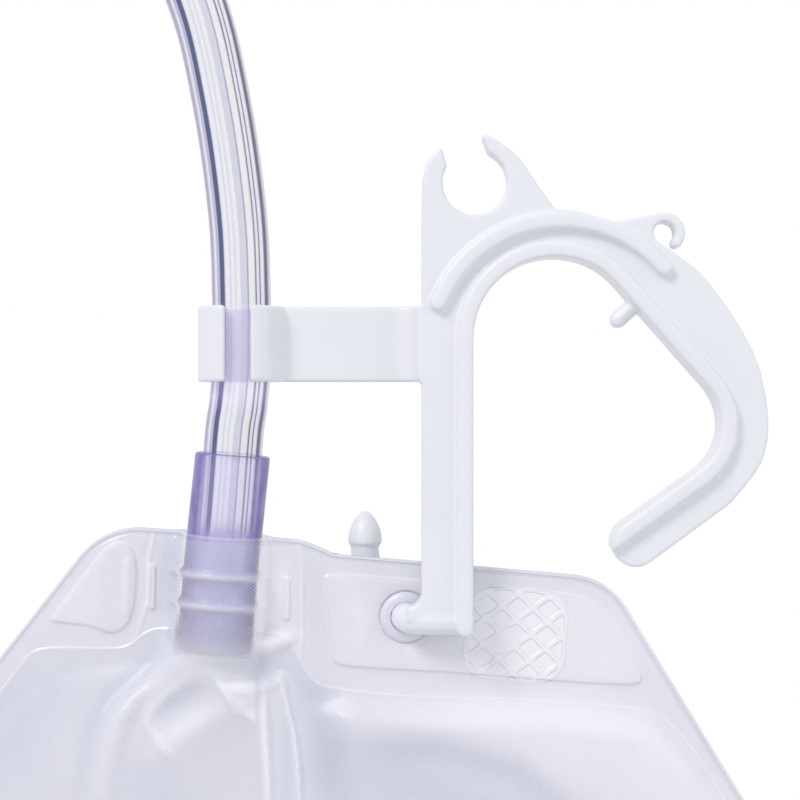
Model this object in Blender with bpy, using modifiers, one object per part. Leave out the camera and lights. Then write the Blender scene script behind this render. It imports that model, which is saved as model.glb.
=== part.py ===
"""Urine drainage bag with its moulded bed hanger, at real size.

The origin is the seat of the hanger's hook, where it lies on the bed rail.
+X is to the right, +Z is up and -Y faces whoever looks at the bag's front.
The bag hangs on the hanger's foot by its eyelet, turned a little clockwise.
"""
import math

import bmesh
import bpy
from mathutils import Matrix, Vector
from mathutils.geometry import delaunay_2d_cdt

MM = 0.001

# Clearance between pieces that touch.
GAP = 0.3 * MM

# Hanger: a flat web, a deeper flange round the throat and a rib over the arch.
WEB_THICK = 4.4 * MM
FLANGE_DEPTH = 7.6 * MM
FLANGE_WIDTH = 2.66 * MM
EDGE_ROUND = 0.5 * MM
ARCH_R = 13.6 * MM
ARCH_RIM = 8.0 * MM
BAR_WIDTH = 8.6 * MM
BAR_DROP = 60.64 * MM
BEND_R = 9.38 * MM
BEND_X = 18.2 * MM
BEND_Z = -27.85 * MM
HOOK_NORMAL = -54.2
HOOK_ARM = 15.4 * MM
TIP_R = 3.95 * MM
ARC_RIB_R = 22.2 * MM
ARC_RIB_X = 1.05 * MM
ARC_RIB_Z = -16.15 * MM
ARC_RIB_WIDTH = 2.66 * MM
STOP_PEG_R = 1.5 * MM
STOP_PEG_REACH = 3.45 * MM
STOP_PEG_ALONG = 4.6 * MM

# Angle of the common normal where the arch runs straight into the bend.
SHOULDER_ANGLE = math.degrees(math.atan2(BEND_Z + ARCH_R, BEND_X)
                              + math.acos((ARCH_R - BEND_R) / math.hypot(BEND_X, BEND_Z + ARCH_R)))

# The hook's outer edge, from the straight below the tip round to the curl.
BACK_EDGE = [
    (27.9, -42.0),
    (29.5, -40.7),
    (33.4, -35.9),
    (34.95, -32.5),
    (35.6, -27.4),
    (34.1, -18.5),
    (30.9, -11.8),
    (27.3, -6.4),
    (23.69, -2.13),
    (19.57, 0.94),
]

# C-clip above the arch, for the drain tube of a second bag. Its two horns are
# given from its centre, as shares of its radius.
C_CLIP_R = 5.4 * MM
C_CLIP_X = -13.3 * MM
C_CLIP_Z = 12.46 * MM
C_CLIP_OPEN_FROM = 66.4
C_CLIP_OPEN_TO = 150.0
RIGHT_HORN = [(1.389, 0.722), (1.059, 1.035), (0.648, 1.322), (0.352, 1.47), (0.204, 1.47)]
LEFT_HORN = [(-1.009, 1.007), (-1.048, 1.078), (-1.267, 0.926), (-1.496, 0.576), (-1.626, 0.07)]
# Height on the bar's left edge at which the left horn starts to lean in.
HORN_FOOT_Z = 4.5 * MM

# Curl behind the arch, a loop for a cord. Its root is given from its centre.
CURL_X = 18.25 * MM
CURL_Z = 4.0 * MM
CURL_HOLE_R = 1.85 * MM
CURL_R = 3.45 * MM
CURL_ROOT = (-4.69 * MM, 2.55 * MM)

# Tube clip on its side arm.
TUBE_R = 5.0 * MM
CLIP_X = -52.75 * MM
CLIP_Y = 4.2 * MM
CLIP_TOP = -7.94 * MM
CLIP_HEIGHT = 12.8 * MM
CLIP_WALL = 2.1 * MM
CLIP_SLOT = 4.4 * MM
ARM_THICK = 2.4 * MM
ARM_FILLET = 3.5 * MM

# Foot that carries the bag: a rod through the eyelet that ends in a bullet.
FOOT_R = 2.5 * MM
FOOT_FILLET = 2.4 * MM
PIVOT_X = -24.85 * MM
PEG_X = -31.86 * MM
PEG_Y = 9.4 * MM
PEG_BEND = 3.5 * MM
BULLET_R = 2.98 * MM
BULLET_LENGTH = 6.2 * MM
BULLET_RISE = 17.86 * MM
BULLET_TIP_Z = -BAR_DROP + BULLET_RISE

# Bag, in its own frame: u to the right and v up from the middle of its top.
BAG_TILT = 4.5
FILM_Y = 4.9 * MM
FILM = 0.35 * MM
EYELET_U = 7.4 * MM
EYELET_V = -10.2 * MM
EYELET_BORE = 2.9 * MM
EYELET_NECK = 0.35 * MM
EYELET_BRIM = 1.4 * MM
EYELET_BRIM_THICK = 0.5 * MM
PAD_WIDTH = 2.3 * MM
# The bag hangs a little low on the foot, on the top of its eyelet.
EYELET_SAG = 0.1 * MM
HALF_WIDTH = 105.0 * MM
SHOULDER_V = -88.7 * MM
BAG_HEIGHT = 288.0 * MM
WELD = 4.3 * MM
FRONT_PUFF = 8.0 * MM
BACK_PUFF = 6.0 * MM
EMBOSS = 0.45 * MM
EMBOSS_SLOPE = 0.9 * MM

# Header of the front film: two puffed pockets, three bead bars and a lattice
# weld. Pocket corners are (u, v, rounding) in millimetres.
RIGHT_POCKET = [(-8.6, -3.7, 2.0), (40.2, -4.1, 4.0), (49.6, -18.9, 1.5), (-8.6, -19.2, 2.0)]
LEFT_POCKET = [(-53.4, -15.7, 0.8), (-45.2, -2.4, 1.5), (-42.4, -2.2, 0.8), (-42.4, -16.2, 1.5)]
BAR_COLUMNS = (-39.2 * MM, -35.8 * MM, -12.4 * MM)
BEAD_TOP = -4.2 * MM
BEAD_BOTTOM = -12.6 * MM
BEAD_HALF = 0.8 * MM
BEAD_ROUND = 0.3 * MM
LATTICE_U = 26.34 * MM
LATTICE_V = -9.23 * MM
LATTICE_COLUMN = 2.64 * MM
LATTICE_ROW = 2.25 * MM

# Inlet connector, along v.
INLET_U = -24.6 * MM
INLET_TOP = 15.1 * MM
INLET_BOTTOM = -18.4 * MM
INLET_R = 6.4 * MM
BARB_R = 7.1 * MM
INLET_SHOULDER = -4.3 * MM
LUMEN_R = 3.5 * MM

# Non-return valve, two soft films under the inlet connector. Their top is
# round on the connector; they lie flat against each other further down.
VALVE_FILM = 0.25 * MM
VALVE_TOP = -13.4 * MM
VALVE_LENGTH = 36.0 * MM
VALVE_GRIP = 5.0 * MM
VALVE_LIP = 0.5 * MM

# Drain at the bottom: port, tube and push-pull valve.
PORT_R = 4.5 * MM
PORT_BORE = 3.0 * MM
PORT_TOP = -BAG_HEIGHT + 20.0 * MM
PORT_BOTTOM = -BAG_HEIGHT - 18.0 * MM
PORT_FLANGE = 2.2 * MM
PORT_FLANGE_THICK = 2.0 * MM
DRAIN_TUBE_WALL = 1.1 * MM
DRAIN_TUBE_TOP = -BAG_HEIGHT - 6.0 * MM
DRAIN_TUBE_LENGTH = 42.0 * MM
VALVE_V = DRAIN_TUBE_TOP - DRAIN_TUBE_LENGTH - 11.0 * MM
VALVE_SPIGOT = 12.0 * MM
VALVE_R = 8.0 * MM
VALVE_HALF = 15.0 * MM
PLUNGER_R = 4.8 * MM
PLUNGER_TRAVEL = 8.0 * MM
SPOUT_LENGTH = 16.0 * MM
SPOUT_BORE = 2.4 * MM
SEAL_R = 0.75 * MM
SEAL_STEPS = (-4.6 * MM, 4.6 * MM, 12.0 * MM)
PLUNGER_FIT = 0.4 * MM
PUSH_FACE = 2.6 * MM
PUSH_EDGE = 0.6 * MM
WAIST_R = 2.6 * MM
WAIST_HALF = 2.0 * MM

# Inlet tube behind the bag, its coil and what is on its far end.
COIL_X = -68.0 * MM
COIL_Y = 17.8 * MM
COIL_Z = -175.0 * MM
COIL_OUTER = 69.3 * MM
COIL_INNER = 35.6 * MM
COIL_THICK = 10.4 * MM
TIE_WIDTH = 14.0 * MM
TIE_THICK = 0.6 * MM
TAIL_Y = 30.7 * MM
TAIL_Z = -216.0 * MM
TAIL_X = -50.0 * MM
# The tail's first points: steps to the right of the coil's middle, and its rise.
TAIL_START = [(-9.0 * MM, 1.4 * MM), (-3.0 * MM, 0.2 * MM), (5.0 * MM, 0.0)]

# The tube's route above the inlet connector, over the top and down to the coil.
TUBE_ROUTE = [
    (-53.35, 4.6, -24.84),
    (-52.8, 4.25, -16.34),
    (-52.75, 4.2, -6.34),
    (-53.4, 4.2, 7.66),
    (-56, 4.3, 26.16),
    (-60.4, 4.8, 44.16),
    (-69.2, 6.4, 61.46),
    (-83.9, 8.6, 72.86),
    (-102.1, 11, 76.86),
    (-120.3, 13.2, 72.86),
    (-135, 15, 61.16),
    (-143.1, 16.3, 43.66),
    (-144.9, 17.2, 19.66),
    (-142.7, 17.8, -15.34),
    (-138.7, 17.8, -60.34),
    (-135.4, 17.8, -105.34),
    (-133.4, 17.8, -138.34),
]

# Colours: base colour, roughness.
WHITE_MOULDING = ((0.80, 0.81, 0.84, 1.0), 0.45)
CLEAR_FILM = ((0.72, 0.74, 0.82, 0.6), 0.35)
CLEAR_TUBE = ((0.78, 0.78, 0.86, 0.5), 0.15)
VIOLET_CONNECTOR = ((0.42, 0.38, 0.68, 0.8), 0.3)
BLUE_VALVE = ((0.25, 0.45, 0.75, 1.0), 0.4)
SEAL_RUBBER = ((0.08, 0.08, 0.09, 1.0), 0.7)
TIE_FILM = ((0.85, 0.85, 0.85, 1.0), 0.6)


def clear_scene():
    for item in list(bpy.data.objects):
        bpy.data.objects.remove(item, do_unlink=True)


def make_collection(name):
    collection = bpy.data.collections.new(name)
    bpy.context.scene.collection.children.link(collection)
    return collection


def paint(item, colour):
    """Gives a piece its own plain material."""
    rgba, roughness = colour
    material = bpy.data.materials.new(item.name + "_finish")
    material.use_nodes = True
    shader = material.node_tree.nodes["Principled BSDF"]
    shader.inputs["Base Color"].default_value = rgba
    shader.inputs["Roughness"].default_value = roughness
    shader.inputs["Metallic"].default_value = 0.0
    shader.inputs["Alpha"].default_value = rgba[3]
    item.data.materials.clear()
    item.data.materials.append(material)


def add_object(name, mesh_data, collection, colour=None):
    item = bpy.data.objects.new(name, mesh_data)
    collection.objects.link(item)
    if colour:
        paint(item, colour)
    return item


def mesh_object(name, mesh, collection, colour=None, smooth_angle=35.0):
    """An object from a bmesh, shaded smooth below the given angle."""
    bmesh.ops.remove_doubles(mesh, verts=mesh.verts, dist=1e-7)
    bmesh.ops.recalc_face_normals(mesh, faces=mesh.faces)
    data = bpy.data.meshes.new(name)
    mesh.to_mesh(data)
    mesh.free()
    data.shade_smooth()
    data.set_sharp_from_angle(angle=math.radians(smooth_angle))
    return add_object(name, data, collection, colour)


def hide_cutter(item):
    item.hide_render = True
    item.display_type = "WIRE"


def boolean(item, tool, operation):
    modifier = item.modifiers.new(operation.lower(), "BOOLEAN")
    modifier.operation = operation
    modifier.solver = "EXACT"
    modifier.object = tool
    hide_cutter(tool)


def arc(centre_x, centre_z, radius, start, end, steps):
    """Points on a circle from the start to the end angle, in degrees."""
    points = []
    for step in range(steps + 1):
        angle = math.radians(start + (end - start) * step / steps)
        points.append((centre_x + radius * math.cos(angle), centre_z + radius * math.sin(angle)))
    return points


def smooth_route(points, steps):
    """A smooth curve through the points, read at even steps of each span."""
    knots = [Vector(point) for point in points]
    knots = [2 * knots[0] - knots[1]] + knots + [2 * knots[-1] - knots[-2]]
    route = []
    for k in range(1, len(knots) - 2):
        before, here, there, after = knots[k - 1:k + 3]
        for step in range(steps):
            t = step / steps
            route.append(0.5 * (2 * here + (there - before) * t
                                + (2 * before - 5 * here + 4 * there - after) * t ** 2
                                + (3 * here - before - 3 * there + after) * t ** 3))
    route.append(knots[-2])
    return route


def rounded_polygon(corners, steps):
    """A closed outline with each corner (x, z, radius) rounded by an arc."""
    points = []
    count = len(corners)
    for k, (x, z, radius) in enumerate(corners):
        here = Vector((x, z))
        before = (Vector(corners[k - 1][:2]) - here).normalized()
        after = (Vector(corners[(k + 1) % count][:2]) - here).normalized()
        half = before.angle(after) / 2
        reach = radius / math.tan(half)
        centre = here + (before + after).normalized() * (radius / math.sin(half))
        first = here + before * reach - centre
        last = here + after * reach - centre
        turn = first.angle_signed(last)
        for step in range(steps + 1):
            spoke = first.copy()
            spoke.rotate(Matrix.Rotation(-turn * step / steps, 2))
            points.append(tuple(centre + spoke))
    return points


def slab(name, outline, low, high, axis, collection, edge=EDGE_ROUND, colour=None):
    """A flat outline drawn out along Y or Z, with its two rims rounded."""
    mesh = bmesh.new()
    if axis == "Y":
        ring = [mesh.verts.new((x, low, z)) for x, z in outline]
        rise = Vector((0, high - low, 0))
    else:
        ring = [mesh.verts.new((x, y, low)) for x, y in outline]
        rise = Vector((0, 0, high - low))
    face = mesh.faces.new(ring)
    drawn = bmesh.ops.extrude_face_region(mesh, geom=[face])
    moved = [part for part in drawn["geom"] if isinstance(part, bmesh.types.BMVert)]
    bmesh.ops.translate(mesh, verts=moved, vec=rise)
    bmesh.ops.recalc_face_normals(mesh, faces=mesh.faces)
    along = rise.normalized()
    rims = [e for e in mesh.edges
            if abs((e.verts[1].co - e.verts[0].co).normalized().dot(along)) < 0.5]
    if edge:
        bmesh.ops.bevel(mesh, geom=rims, offset=edge, offset_type="OFFSET", segments=2,
                        profile=0.5, affect="EDGES", material=-1, clamp_overlap=True)
    return mesh_object(name, mesh, collection, colour)


def turned(name, profile, collection, colour=None, steps=32):
    """A closed profile of (radius, height), turned about Z by a Screw."""
    data = bpy.data.meshes.new(name)
    mesh = bmesh.new()
    ring = [mesh.verts.new((radius, 0, height)) for radius, height in profile]
    for here, there in zip(ring, ring[1:] + ring[:1]):
        if here.co.x > 0 or there.co.x > 0:
            mesh.edges.new((here, there))
    mesh.to_mesh(data)
    mesh.free()
    item = add_object(name, data, collection, colour)
    screw = item.modifiers.new("turn", "SCREW")
    screw.steps = steps
    screw.render_steps = steps
    screw.use_merge_vertices = True
    screw.merge_threshold = 1e-6
    return item


def as_mesh(item, smooth_angle=35.0):
    """Swaps an object for the mesh that its modifiers or curve make."""
    bpy.context.view_layer.update()
    graph = bpy.context.evaluated_depsgraph_get()
    data = bpy.data.meshes.new_from_object(item.evaluated_get(graph))
    mesh = bmesh.new()
    mesh.from_mesh(data)
    bmesh.ops.remove_doubles(mesh, verts=mesh.verts, dist=1e-7)
    bmesh.ops.recalc_face_normals(mesh, faces=mesh.faces)
    mesh.to_mesh(data)
    mesh.free()
    data.shade_smooth()
    data.set_sharp_from_angle(angle=math.radians(smooth_angle))
    name = item.name
    collection = item.users_collection[0]
    place = item.matrix_world.copy()
    bpy.data.objects.remove(item, do_unlink=True)
    swapped = add_object(name, data, collection)
    swapped.matrix_world = place
    return swapped


def rod(name, route, radius, resolution, collection, colour=None):
    """A round rod or tube along a route, with closed ends."""
    data = bpy.data.curves.new(name, "CURVE")
    data.dimensions = "3D"
    data.bevel_depth = radius
    data.bevel_resolution = resolution
    data.use_fill_caps = True
    spline = data.splines.new("POLY")
    spline.points.add(len(route) - 1)
    for point, place in zip(spline.points, route):
        point.co = (*place, 1.0)
    return add_object(name, data, collection, colour)


def throat_path(offset):
    """The hook's inner contour, moved into the material by the offset."""
    path = arc(0, -ARCH_R, ARCH_R + offset, 180, SHOULDER_ANGLE, 16)
    path += arc(BEND_X, BEND_Z, BEND_R + offset, SHOULDER_ANGLE, HOOK_NORMAL, 10)
    return path


def tip_centre():
    """The centre of the hook tip's rounding."""
    normal = math.radians(HOOK_NORMAL)
    away = BEND_R + TIP_R
    return (BEND_X + away * math.cos(normal) + HOOK_ARM * math.sin(normal),
            BEND_Z + away * math.sin(normal) - HOOK_ARM * math.cos(normal))


def curl_outline():
    """The loop's edge, from the hole's lowest side round to the plate's top."""
    wall = (CURL_R - CURL_HOLE_R) / 2
    middle = CURL_HOLE_R + wall
    end = -39.0
    tip_x = CURL_X + middle * math.cos(math.radians(end))
    tip_z = CURL_Z + middle * math.sin(math.radians(end))
    points = arc(CURL_X, CURL_Z, CURL_HOLE_R, 241.6, end, 14)
    points += arc(tip_x, tip_z, wall, end + 180, end + 360, 6)[1:-1]
    points += arc(CURL_X, CURL_Z, CURL_R, end, 98, 8)
    return points


def horn_points(shares):
    """The edge of one of the C-clip's horns."""
    return [(C_CLIP_X + C_CLIP_R * x, C_CLIP_Z + C_CLIP_R * z) for x, z in shares]


def web_outline():
    """The hanger's flat web: hook, C-clip, curl and bar in one outline."""
    inset = FLANGE_WIDTH / 2
    tip_x, tip_z = tip_centre()
    start = HOOK_NORMAL + 180 + math.degrees(math.acos((TIP_R - inset) / TIP_R))
    outline = throat_path(inset)
    outline += arc(tip_x, tip_z, TIP_R, start, HOOK_NORMAL + 360, 9)
    back = smooth_route([(x * MM, 0, z * MM) for x, z in BACK_EDGE], 2)
    outline += [(point.x, point.z) for point in back]
    outline += curl_outline()
    outline += [(CURL_X + CURL_ROOT[0], CURL_Z + CURL_ROOT[1])]
    outline += arc(0, -ARCH_R, ARCH_R + ARCH_RIM, 64, 90, 4)
    outline += horn_points(RIGHT_HORN)
    outline += arc(C_CLIP_X, C_CLIP_Z, C_CLIP_R, C_CLIP_OPEN_FROM, C_CLIP_OPEN_TO - 360, 24)
    outline += horn_points(LEFT_HORN)
    left = -ARCH_R - BAR_WIDTH
    outline += [(left, HORN_FOOT_Z)]
    root = -BAR_DROP + FOOT_R - 0.2 * MM
    outline += arc(left - FOOT_FILLET, root + FOOT_FILLET, FOOT_FILLET, 0, -90, 5)
    outline += [(left - FOOT_FILLET, -BAR_DROP), (-ARCH_R - inset, -BAR_DROP)]
    return outline


def flange_outline():
    """The deeper flange along the throat, from the foot to the hook's tip."""
    tip_x, tip_z = tip_centre()
    reach = math.degrees(math.acos((TIP_R - FLANGE_WIDTH) / TIP_R))
    start = HOOK_NORMAL + 180
    outline = throat_path(0)
    outline += arc(tip_x, tip_z, TIP_R + 0.05 * MM, start, start + reach, 6)
    outline += reversed(throat_path(FLANGE_WIDTH))
    centre = -ARCH_R - FLANGE_WIDTH / 2
    bottom = -BAR_DROP - FOOT_R + FLANGE_WIDTH / 2
    outline += arc(centre, bottom, FLANGE_WIDTH / 2, 180, 360, 6)
    return outline


def arc_rib_outline():
    """The raised rib over the arch, with round ends."""
    inner = ARC_RIB_R - ARC_RIB_WIDTH / 2
    outer = ARC_RIB_R + ARC_RIB_WIDTH / 2
    outline = arc(ARC_RIB_X, ARC_RIB_Z, outer, 40.2, 157.5, 18)
    for angle, turn in ((157.5, 157.5), (40.2, 220.2)):
        x = ARC_RIB_X + ARC_RIB_R * math.cos(math.radians(angle))
        z = ARC_RIB_Z + ARC_RIB_R * math.sin(math.radians(angle))
        outline += arc(x, z, ARC_RIB_WIDTH / 2, turn, turn + 180, 6)[1:-1]
        if turn == angle:
            outline += arc(ARC_RIB_X, ARC_RIB_Z, inner, 157.5, 40.2, 18)
    return outline


def tube_clip_outline():
    """The C-ring, its arm and the block on the bar, seen from above."""
    bore = TUBE_R + GAP
    outer = bore + CLIP_WALL
    near = math.degrees(math.asin(CLIP_SLOT / 2 / outer))
    far = math.degrees(math.asin(CLIP_SLOT / 2 / bore))
    join = math.degrees(math.asin(ARM_THICK / 2 / outer))
    left = -ARCH_R - BAR_WIDTH - 0.85 * MM
    front = CLIP_Y - ARM_THICK / 2
    block_front = -WEB_THICK / 2 + 0.05 * MM
    outline = arc(CLIP_X, CLIP_Y, outer, near - 90, -join, 8)
    outline += arc(left - ARM_FILLET, front - ARM_FILLET, ARM_FILLET, 90, 0, 6)
    outline += [(left, block_front), (-ARCH_R - BAR_WIDTH + 3 * MM, block_front),
                (-ARCH_R - BAR_WIDTH + 3 * MM, CLIP_Y + ARM_THICK / 2)]
    outline += arc(CLIP_X, CLIP_Y, outer, join, 270 - near, 24)
    outline += arc(CLIP_X, CLIP_Y, bore, 270 - far, far - 90, 24)
    return outline


def bullet_profile():
    """Half of the bullet head, from its tip down to its flat underside."""
    profile = []
    for step in range(9):
        t = 1 - step / 8
        radius = BULLET_R * (1 - t ** 2) ** 0.75
        profile.append((radius, BULLET_TIP_Z - (1 - t) * (BULLET_LENGTH - 0.8 * MM)))
    profile.append((BULLET_R, BULLET_TIP_Z - BULLET_LENGTH + 0.4 * MM))
    profile.append((FOOT_R * 0.9, BULLET_TIP_Z - BULLET_LENGTH))
    profile.append((0.0, BULLET_TIP_Z - BULLET_LENGTH))
    return profile


def foot_route():
    """The foot: along the bar's bottom, back through the eyelet and up."""
    route = [Vector((-ARCH_R - 0.7 * MM, 0, -BAR_DROP))]
    for x, y in arc(PIVOT_X + PEG_BEND, PEG_BEND, PEG_BEND, 270, 180, 6):
        route.append(Vector((x, y, -BAR_DROP)))
    route.append(Vector((PIVOT_X, 6.2 * MM, -BAR_DROP)))
    route += smooth_route([
        (PIVOT_X - 0.8 * MM, 8.3 * MM, -BAR_DROP + 0.8 * MM),
        (PIVOT_X - 3.0 * MM, PEG_Y, -BAR_DROP + 3.2 * MM),
        (PEG_X + 0.9 * MM, PEG_Y, -BAR_DROP + 7.0 * MM),
        (PEG_X, PEG_Y, -BAR_DROP + 10.5 * MM),
        (PEG_X, PEG_Y, BULLET_TIP_Z - BULLET_LENGTH + 0.6 * MM),
    ], 3)
    return route


def make_hanger(parts, tools):
    half_web = WEB_THICK / 2
    half_flange = FLANGE_DEPTH / 2
    hanger = slab("hanger", web_outline(), -half_web, half_web, "Y", parts, 0.5 * MM, WHITE_MOULDING)
    flange = slab("hanger_flange", flange_outline(), -half_flange, half_flange, "Y", tools)
    rib = slab("hanger_rib", arc_rib_outline(), -half_flange, half_flange, "Y", tools)
    clip = slab("hanger_tube_clip", tube_clip_outline(), CLIP_TOP - CLIP_HEIGHT, CLIP_TOP, "Z",
                tools, 0.3 * MM)
    slope = math.radians(SHOULDER_ANGLE)
    normal = Vector((math.cos(slope), 0, math.sin(slope)))
    root = Vector((0, 0, -ARCH_R)) + normal * (ARCH_R + FLANGE_WIDTH)
    root += Vector((normal.z, 0, -normal.x)) * STOP_PEG_ALONG
    end = root - normal * (FLANGE_WIDTH + STOP_PEG_REACH)
    peg = as_mesh(rod("hanger_stop_peg", [root, end], STOP_PEG_R, 2, tools))
    knob = bmesh.new()
    bmesh.ops.create_uvsphere(knob, u_segments=12, v_segments=8, radius=STOP_PEG_R * 0.99)
    bmesh.ops.translate(knob, verts=knob.verts, vec=end)
    knob = mesh_object("hanger_stop_knob", knob, tools)
    foot = as_mesh(rod("hanger_foot", foot_route(), FOOT_R, 4, tools))
    bullet = turned("hanger_bullet", bullet_profile(), tools, steps=20)
    bullet = as_mesh(bullet)
    bullet.location = (PEG_X, PEG_Y, 0)
    for tool in (flange, rib, clip, peg, knob, foot, bullet):
        boolean(hanger, tool, "UNION")
    return hanger


def bag_pivot():
    """The bag's turning point: the eyelet's centre, on the foot's axis."""
    pivot = bpy.data.objects.new("bag_pivot", None)
    bpy.context.scene.collection.objects.link(pivot)
    pivot.empty_display_size = 0.02
    pivot.location = (PIVOT_X, 0, -BAR_DROP - EYELET_SAG)
    pivot.rotation_euler = (0, math.radians(BAG_TILT), 0)
    return pivot


def bag_point(u, v):
    """The world position of a point on the bag's middle plane."""
    turn = Matrix.Rotation(math.radians(BAG_TILT), 3, "Y")
    pivot = Vector((PIVOT_X, FILM_Y, -BAR_DROP - EYELET_SAG))
    return pivot + turn @ Vector((u - EYELET_U, 0, v - EYELET_V))


def hang(item, pivot, u=0.0, y=0.0, v=0.0, turn=(0, 0, 0)):
    """Places a piece in the bag's frame and parents it to the pivot."""
    item.parent = pivot
    item.location = (u - EYELET_U, y, v - EYELET_V)
    item.rotation_euler = turn


def bag_outline():
    """The films' cut edge in the bag's frame."""
    return rounded_polygon([
        (-45.0 * MM, 1.4 * MM, 6.0 * MM),
        (-10.5 * MM, 1.5 * MM, 4.0 * MM),
        (-6.0 * MM, -0.5 * MM, 4.0 * MM),
        (41.4 * MM, -0.9 * MM, 8.0 * MM),
        (HALF_WIDTH, SHOULDER_V, 14.0 * MM),
        (HALF_WIDTH, -BAG_HEIGHT, 14.0 * MM),
        (-HALF_WIDTH, -BAG_HEIGHT, 14.0 * MM),
        (-HALF_WIDTH, SHOULDER_V, 14.0 * MM),
    ], 4)


def chamber_corners():
    """Corners of the chamber between the welds, clockwise from its top left."""
    side = HALF_WIDTH - WELD
    return [Vector(corner) for corner in (
        (-56.0 * MM, -19.8 * MM),
        (54.5 * MM, -22.8 * MM),
        (side, SHOULDER_V - 1.5 * MM),
        (side, -BAG_HEIGHT + 7.0 * MM),
        (-side, -BAG_HEIGHT + 7.0 * MM),
        (-side, SHOULDER_V - 1.5 * MM),
    )]


def inset_corners(corners, inset):
    """The corners of a convex clockwise outline, moved in from all its sides."""
    moved = []
    for k, corner in enumerate(corners):
        before = (corner - corners[k - 1]).normalized()
        after = (corners[(k + 1) % len(corners)] - corner).normalized()
        inward = Vector((before.y, -before.x)) + Vector((after.y, -after.x))
        moved.append(corner + inward * (inset / (1 + before.dot(after))))
    return moved


def depth_inside(corners, u, v):
    """How far a point lies inside a convex clockwise outline."""
    depths = []
    for k, corner in enumerate(corners):
        along = (corners[(k + 1) % len(corners)] - corner).normalized()
        depths.append((u - corner.x) * along.y - (v - corner.y) * along.x)
    return min(depths)


def subdivided(loop, longest):
    """The closed loop with its long edges cut to about the given length."""
    points = []
    for k, (x, z) in enumerate(loop):
        there = loop[(k + 1) % len(loop)]
        pieces = max(1, round(math.dist((x, z), there) / longest))
        for step in range(pieces):
            t = step / pieces
            points.append((x + (there[0] - x) * t, z + (there[1] - z) * t))
    return points


def with_columns(loop, columns, low, high):
    """The closed loop with a point wherever it crosses a column u."""
    points = []
    for k, (x, z) in enumerate(loop):
        points.append((x, z))
        there = loop[(k + 1) % len(loop)]
        crossings = [u for u in columns if (x - u) * (there[0] - u) < 0]
        for u in sorted(crossings, key=lambda column: abs(column - x)):
            t = (u - x) / (there[0] - x)
            v = z + (there[1] - z) * t
            if low < v < high:
                points.append((u, v))
    return points


SLEEVE_COLUMNS = (-1.1, -0.93, -0.7, -0.38, 0.0, 0.38, 0.7, 0.93, 1.1)
CHAMBER_INSETS = (0.0, 1.3, 4.0, 9.0, 18.0, 32.0, 50.0, 78.0)
CHAMBER_EASE = 50.0 * MM


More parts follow.
